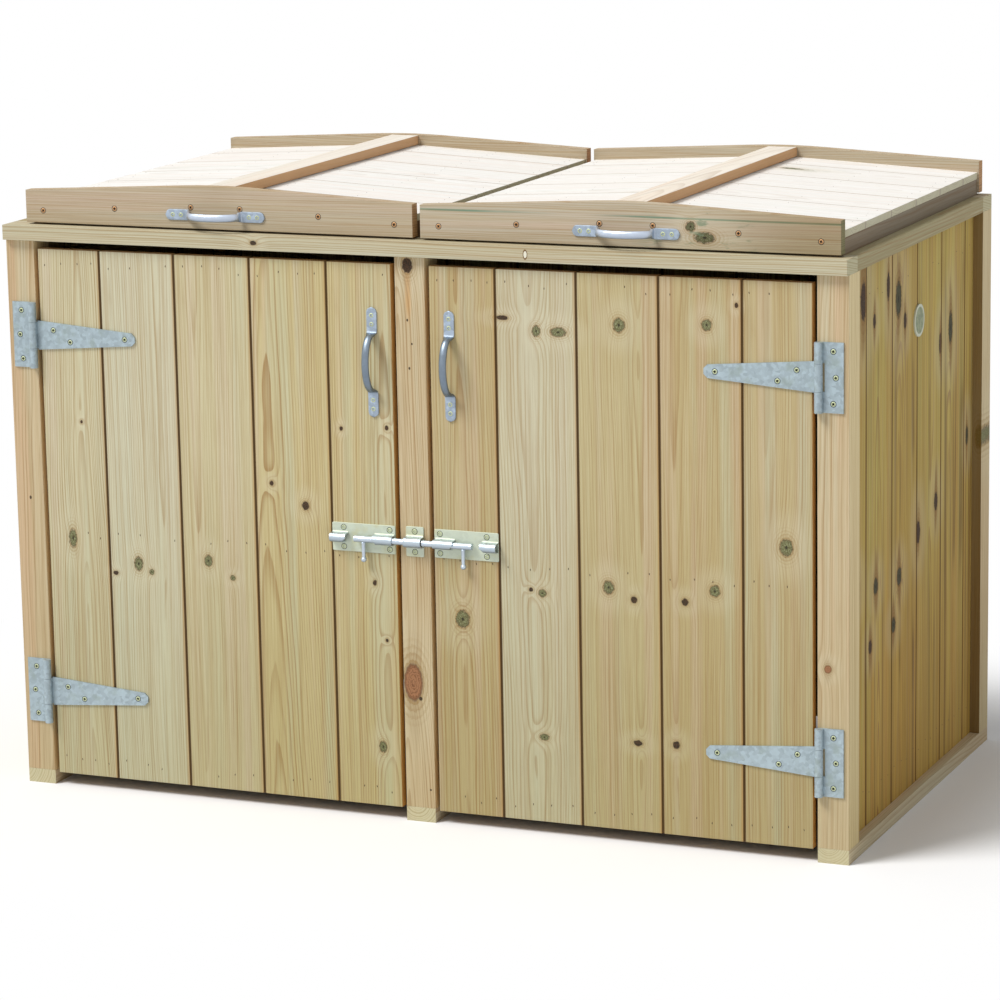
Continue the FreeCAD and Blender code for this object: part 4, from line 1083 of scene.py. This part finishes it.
def nail_head():
    """A small oval nail head, facing up, 1 long and 0.38 wide each way from its middle."""
    bm = bmesh.new()
    around = np.arange(8) * math.pi / 4
    rings = []
    for scale, up in ((1.0, -0.1), (0.85, 0.07), (0.45, 0.02)):
        rings.append([bm.verts.new((0.38 * scale * math.cos(t), scale * math.sin(t), up)) for t in around])
    skin(bm, rings)
    bm.faces.new(rings[-1])
    return shape(bm, "nail_head")


# %% Placing them with Geometry Nodes
def placing_tree(name, placed_shape, main, other):
    """
    Puts the shape on every point, facing the point's aim. Points marked odd take the other finish, and the
    shape's faces marked deep the painted shadow of a recess.
    """
    tree = bpy.data.node_groups.new(name, "GeometryNodeTree")
    for socket, kind in (("Points", "Geometry"), ("Radius", "Float"), ("Turn", "Float"), ("Seed", "Int")):
        tree.interface.new_socket(socket, in_out="INPUT", socket_type="NodeSocket" + kind)
    tree.interface.new_socket("Pieces", in_out="OUTPUT", socket_type="NodeSocketGeometry")

    def add(kind, settings=None, inputs=None):
        made = tree.nodes.new(kind)
        for key, value in (settings or {}).items():
            setattr(made, key, value)
        for key, value in (inputs or {}).items():
            if isinstance(value, bpy.types.NodeSocket):
                tree.links.new(value, made.inputs[key])
            else:
                made.inputs[key].default_value = value
        return made

    def marked(attribute):
        """Whether a point's or face's mark is set."""
        mark = add("GeometryNodeInputNamedAttribute", {"data_type": "FLOAT"}, {"Name": attribute})
        return add("ShaderNodeMath", {"operation": "GREATER_THAN"}, {0: mark.outputs[0], 1: 0.5}).outputs[0]

    start = add("NodeGroupInput")
    points = add("GeometryNodeMeshToPoints", None, {"Mesh": start.outputs["Points"]})
    aim = add("GeometryNodeInputNamedAttribute", {"data_type": "FLOAT_VECTOR"}, {"Name": "aim"})
    lie = add("FunctionNodeAlignRotationToVector", {"axis": "Z"}, {"Vector": aim.outputs[0]})
    # a random share of the turn, from all of it one way to all of it the other
    chance = add("FunctionNodeRandomValue", {"data_type": "FLOAT"},
                 {"Seed": start.outputs["Seed"], 2: -1.0, 3: 1.0})
    angle = add("ShaderNodeMath", {"operation": "MULTIPLY"}, {0: chance.outputs[1], 1: start.outputs["Turn"]})
    spin = add("FunctionNodeAxisAngleToRotation", None, {"Axis": (0, 0, 1), "Angle": angle.outputs[0]})
    turned = add("FunctionNodeRotateRotation", {"rotation_space": "LOCAL"},
                 {0: lie.outputs[0], 1: spin.outputs[0]})
    one = add("GeometryNodeObjectInfo", None, {"Object": placed_shape})
    inputs = {"Points": points.outputs[0], "Instance": one.outputs["Geometry"], "Rotation": turned.outputs[0],
              "Scale": start.outputs["Radius"]}
    placed = add("GeometryNodeInstanceOnPoints", None, inputs)
    last = add("GeometryNodeRealizeInstances", None, {"Geometry": placed.outputs[0]})
    for finish, chosen in ((main, True), (other, marked("odd")), (recess, marked("deep"))):
        last = add("GeometryNodeSetMaterial", None,
                   {"Geometry": last.outputs[0], "Selection": chosen, "Material": finish})
    tree.links.new(last.outputs[0], add("NodeGroupOutput").inputs[0])
    return tree


def place_all(name, tree, spots, radius, spin, seed, body, *stands_for):
    """spots are (place, aim, odd). Leaves one plain mesh that rides on the body."""
    mesh = bpy.data.meshes.new(name + "_points")
    mesh.from_pydata([tuple(at) for at, _, _ in spots], [], [])
    aims = mesh.attributes.new("aim", "FLOAT_VECTOR", "POINT")
    aims.data.foreach_set("vector", [c for _, aim, _ in spots for c in aim])
    odds = mesh.attributes.new("odd", "FLOAT", "POINT")
    odds.data.foreach_set("value", [float(odd) for _, _, odd in spots])
    holder = added(name + "_holder", mesh)
    modifier = holder.modifiers.new("placing", "NODES")
    modifier.node_group = tree
    values = {"Radius": radius, "Turn": spin, "Seed": seed}
    for item in tree.interface.items_tree:
        if item.in_out == "INPUT" and item.name in values:
            modifier[item.identifier] = values[item.name]
    graph = bpy.context.evaluated_depsgraph_get()
    plain = bpy.data.meshes.new_from_object(holder.evaluated_get(graph), depsgraph=graph)
    plain.name = name
    bpy.data.objects.remove(holder)
    riding(name, plain, body, stands_for)
    print(name, len(spots), "pieces", len(plain.polygons), "faces")


# %% Screws
# a screw head's radius, and how far it stands off the place of the CAD's head
HEAD, PROUD = 4.2 * MM, 0.05 * MM
screw_tree = placing_tree("screw_placing", cross_head(), passivated, gilt)


def drive_screws(body, seed, screws, skins=()):
    """Heads in place of a node's screws. Those in wood, at one of the skins' Y, are the yellow ones."""
    spots = []
    for at, aim in screw_spots(screws):
        in_wood = any(abs(at.y - y) < 0.5 * MM for y in skins)
        spots.append((at + aim * PROUD, aim, in_wood))
    place_all(f"{body}_screw_heads", screw_tree, spots, HEAD, math.pi, seed, body, screws)


drive_screws("carcass", 1, "frame_screws")
for side in SIDES:
    drive_screws(f"{side}_door", 2, f"{side}_door_screws")
    # the fascia screws are yellow, and those of the handle and hinge leaves pale
    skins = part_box(f"{side}_lid_front_fascia")[0].y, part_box(f"{side}_lid_rear_fascia")[1].y
    drive_screws(f"{side}_lid", 3, f"{side}_lid_screws", skins)

# %% Nails
sh = blank("nail_steel")
x, y, z = sh.place()
tone = sh.mix(sh.noise(x * 300, y * 300, z * 300), srgb(52, 40, 24), srgb(96, 80, 54))
nail_steel = sh.finish(Base_Color=tone, Roughness=0.6, Metallic=0.2)
nail_tree = placing_tree("nail_placing", nail_head(), nail_steel, bright)
rng = random.Random(11)
# where nails are across a board, as shares of its width, and how high the rows of a door are
COLUMNS = (0.13, 0.4, 0.62, 0.87)
DOOR_ROWS = (53 * MM, 497 * MM, 1010 * MM)
# one in six places has no nail, and the others are off their place by up to this much, across and along
MISSING, OFF_ACROSS, OFF_ALONG = 0.16, 4, 7
# half the length of a nail's head on the doors, walls and lids, and how far its oval may lean, in radians
DOOR_NAIL, WALL_NAIL, ROOF_NAIL, LEAN = 2.5 * MM, 2.3 * MM, 2.0 * MM, 0.25


def rows(name, axis):
    """Middles of a node's solids along an axis, to a tenth of a millimetre, each once."""
    return sorted({round(float((s[:, axis].min() + s[:, axis].max()) / 2), 4) for s in solids(name)})


def boards_between(first_edge, cover, low, high):
    """Where each board begins and ends, across a wall from low to high."""
    edges = [first_edge + k * cover for k in range(8)]
    kept = [(max(a, low), min(b, high)) for a, b in zip(edges, edges[1:])]
    return [(a, b) for a, b in kept if b - a > cover / 5]


def board_nails(boards, levels, at):
    """Nails on each board at each level. at turns (across, level) into a place and an aim."""
    spots = []
    for low, high in boards:
        for level in levels:
            for column in COLUMNS if high - low > COVER / 2 else (0.5,):
                if rng.random() < MISSING:
                    continue
                spot = low + (high - low) * column + rng.uniform(-OFF_ACROSS, OFF_ACROSS) * MM
                spots.append((*at(spot, level + rng.uniform(-OFF_ALONG, OFF_ALONG) * MM), 0))
    return spots


for side in SIDES:
    low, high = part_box(f"{side}_door_boards")
    boards = boards_between(door_start(side), COVER, low.x, high.x)
    spots = board_nails(boards, DOOR_ROWS, lambda a, level: (Vector((a, FACE, level)), Vector((0, -1, 0))))
    place_all(f"{side}_door_nails", nail_tree, spots, DOOR_NAIL, LEAN, 5, f"{side}_door")
spots = []
for side, sign in SIDES.items():
    low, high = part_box(f"{side}_side_boards")
    boards = boards_between(wall_start, COVER, low.y, high.y)
    spots += board_nails(boards, rows(f"{side}_side_rails", 2),
                         lambda a, level: (Vector((sign * wall_face, a, level)), Vector((sign, 0, 0))))
    low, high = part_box("back_boards")
    boards = boards_between(bay_start, COVER, 0.0, high.x)
    spots += board_nails(boards, rows("back_rails", 2),
                         lambda a, level: (Vector((sign * a, back_face, level)), Vector((0, 1, 0))))
place_all("wall_nails", nail_tree, spots, WALL_NAIL, LEAN, 6, "carcass")

# the lid boards slope both ways from the ridge, so each half has its own line of heights
for side in SIDES:
    points = np.concatenate(solids(f"{side}_lid_boards"))
    low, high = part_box(f"{side}_lid_boards")
    middle = (low.x + high.x) / 2
    boards = boards_between(low.y + FIRST_ROOF_BOARD - ROOF_COVER, ROOF_COVER, low.y, high.y)
    spots = []
    for way in (-1, 1):
        half = points[(points[:, 0] - middle) * way > MM]
        ends = half[:, 0].min(), half[:, 0].max()
        tops = [half[abs(half[:, 0] - end) < 3 * MM][:, 2].max() for end in ends]
        slope = (tops[1] - tops[0]) / (ends[1] - ends[0])
        aim = Vector((-slope, 0, 1)).normalized()
        levels = [v for v in rows(f"{side}_lid_frame", 0) if ends[0] < v < ends[1]] + [middle + way * 50 * MM]
        spots += board_nails(boards, levels,
                             lambda a, level: (Vector((level, a, tops[0] + slope * (level - ends[0]))), aim))
    place_all(f"{side}_roof_nails", nail_tree, spots, ROOF_NAIL, LEAN, 7, f"{side}_lid")

# %% [markdown]
# ## Light, floor and camera
#
# A garden in bright overcast light: a soft sky fills the shadows, and a broad sun from above on the front
# left models the handles and hinges and leaves the right wall in shade. The background is white by the colour
# that the camera sees, not by more light: the lens, metal and glass see plain white, and everything else is
# lit by the dimmer sky. The floor fades to that white away from the store, and keeps its shadow near it. The
# camera stands where the photographer stood, to the right of the store and a little above it, with a long
# lens.

# %% Sky and sun
scene = bpy.context.scene
scene.view_settings.view_transform = "Standard"
sky = Shader(bpy.data.worlds.new("sky"))
lit = sky.node("ShaderNodeBackground", None, {"Color": (0.97, 0.985, 1.0), "Strength": 0.42})
seen = sky.node("ShaderNodeBackground", None, {"Color": (1.0, 1.0, 1.0), "Strength": 1.0})
both = sky.node("ShaderNodeMixShader", None, {0: sky.white_rays(), 1: lit, 2: seen})
scene.world = sky.end("ShaderNodeOutputWorld", both)

sun_data = bpy.data.lights.new("sun", "SUN")
sun_data.energy = 2.7
sun_data.angle = math.radians(24)
sun_data.color = (1.0, 0.99, 0.97)
sun = added("sun", sun_data)
sun.rotation_euler = Vector((-0.45, -0.42, 0.79)).to_track_quat("Z", "Y").to_euler()

# %% Floor
FAR = 60
# how far the store's foot reaches from the middle, and how far beyond it the shadow stays and is gone
REACH_X, REACH_Y, SHADOW = 0.82, 0.46, (0.04, 0.75)
floor_mesh = bpy.data.meshes.new("floor")
floor_mesh.from_pydata([(-FAR, -FAR, 0), (FAR, -FAR, 0), (FAR, FAR, 0), (-FAR, FAR, 0)], [], [(0, 1, 2, 3)])
floor = added("floor", floor_mesh)
sh = blank("floor_white")
x, y, z = sh.place()
ground = sh.node("ShaderNodeBsdfDiffuse", None, {"Color": (0.92, 0.925, 0.94)})
white = sh.node("ShaderNodeEmission", None, {"Color": (1.0, 1.0, 1.0), "Strength": 1.0})
beyond_x, beyond_y = (abs(x) - REACH_X).more(0.0), (abs(y) - REACH_Y).more(0.0)
away = (beyond_x * beyond_x + beyond_y * beyond_y).root().over(*SHADOW) * sh.white_rays()
both = sh.node("ShaderNodeMixShader", None, {0: away, 1: ground, 2: white})
floor.data.materials.append(sh.end("ShaderNodeOutputMaterial", both))

# %% Camera
CAMERA_AT = Vector((2.8593, -6.7875, 2.0679))
YAW, PITCH, ROLL = math.radians(22.93), math.radians(11.864), math.radians(-1.036)
camera_data = bpy.data.cameras.new("camera")
camera_data.sensor_width = 36
camera_data.lens = 141.4
camera = added("camera", camera_data)
aimed = Matrix.Rotation(YAW, 4, "Z") @ Matrix.Rotation(math.pi / 2 - PITCH, 4, "X")
camera.matrix_world = Matrix.Translation(CAMERA_AT) @ aimed @ Matrix.Rotation(ROLL, 4, "Z")
scene.camera = camera
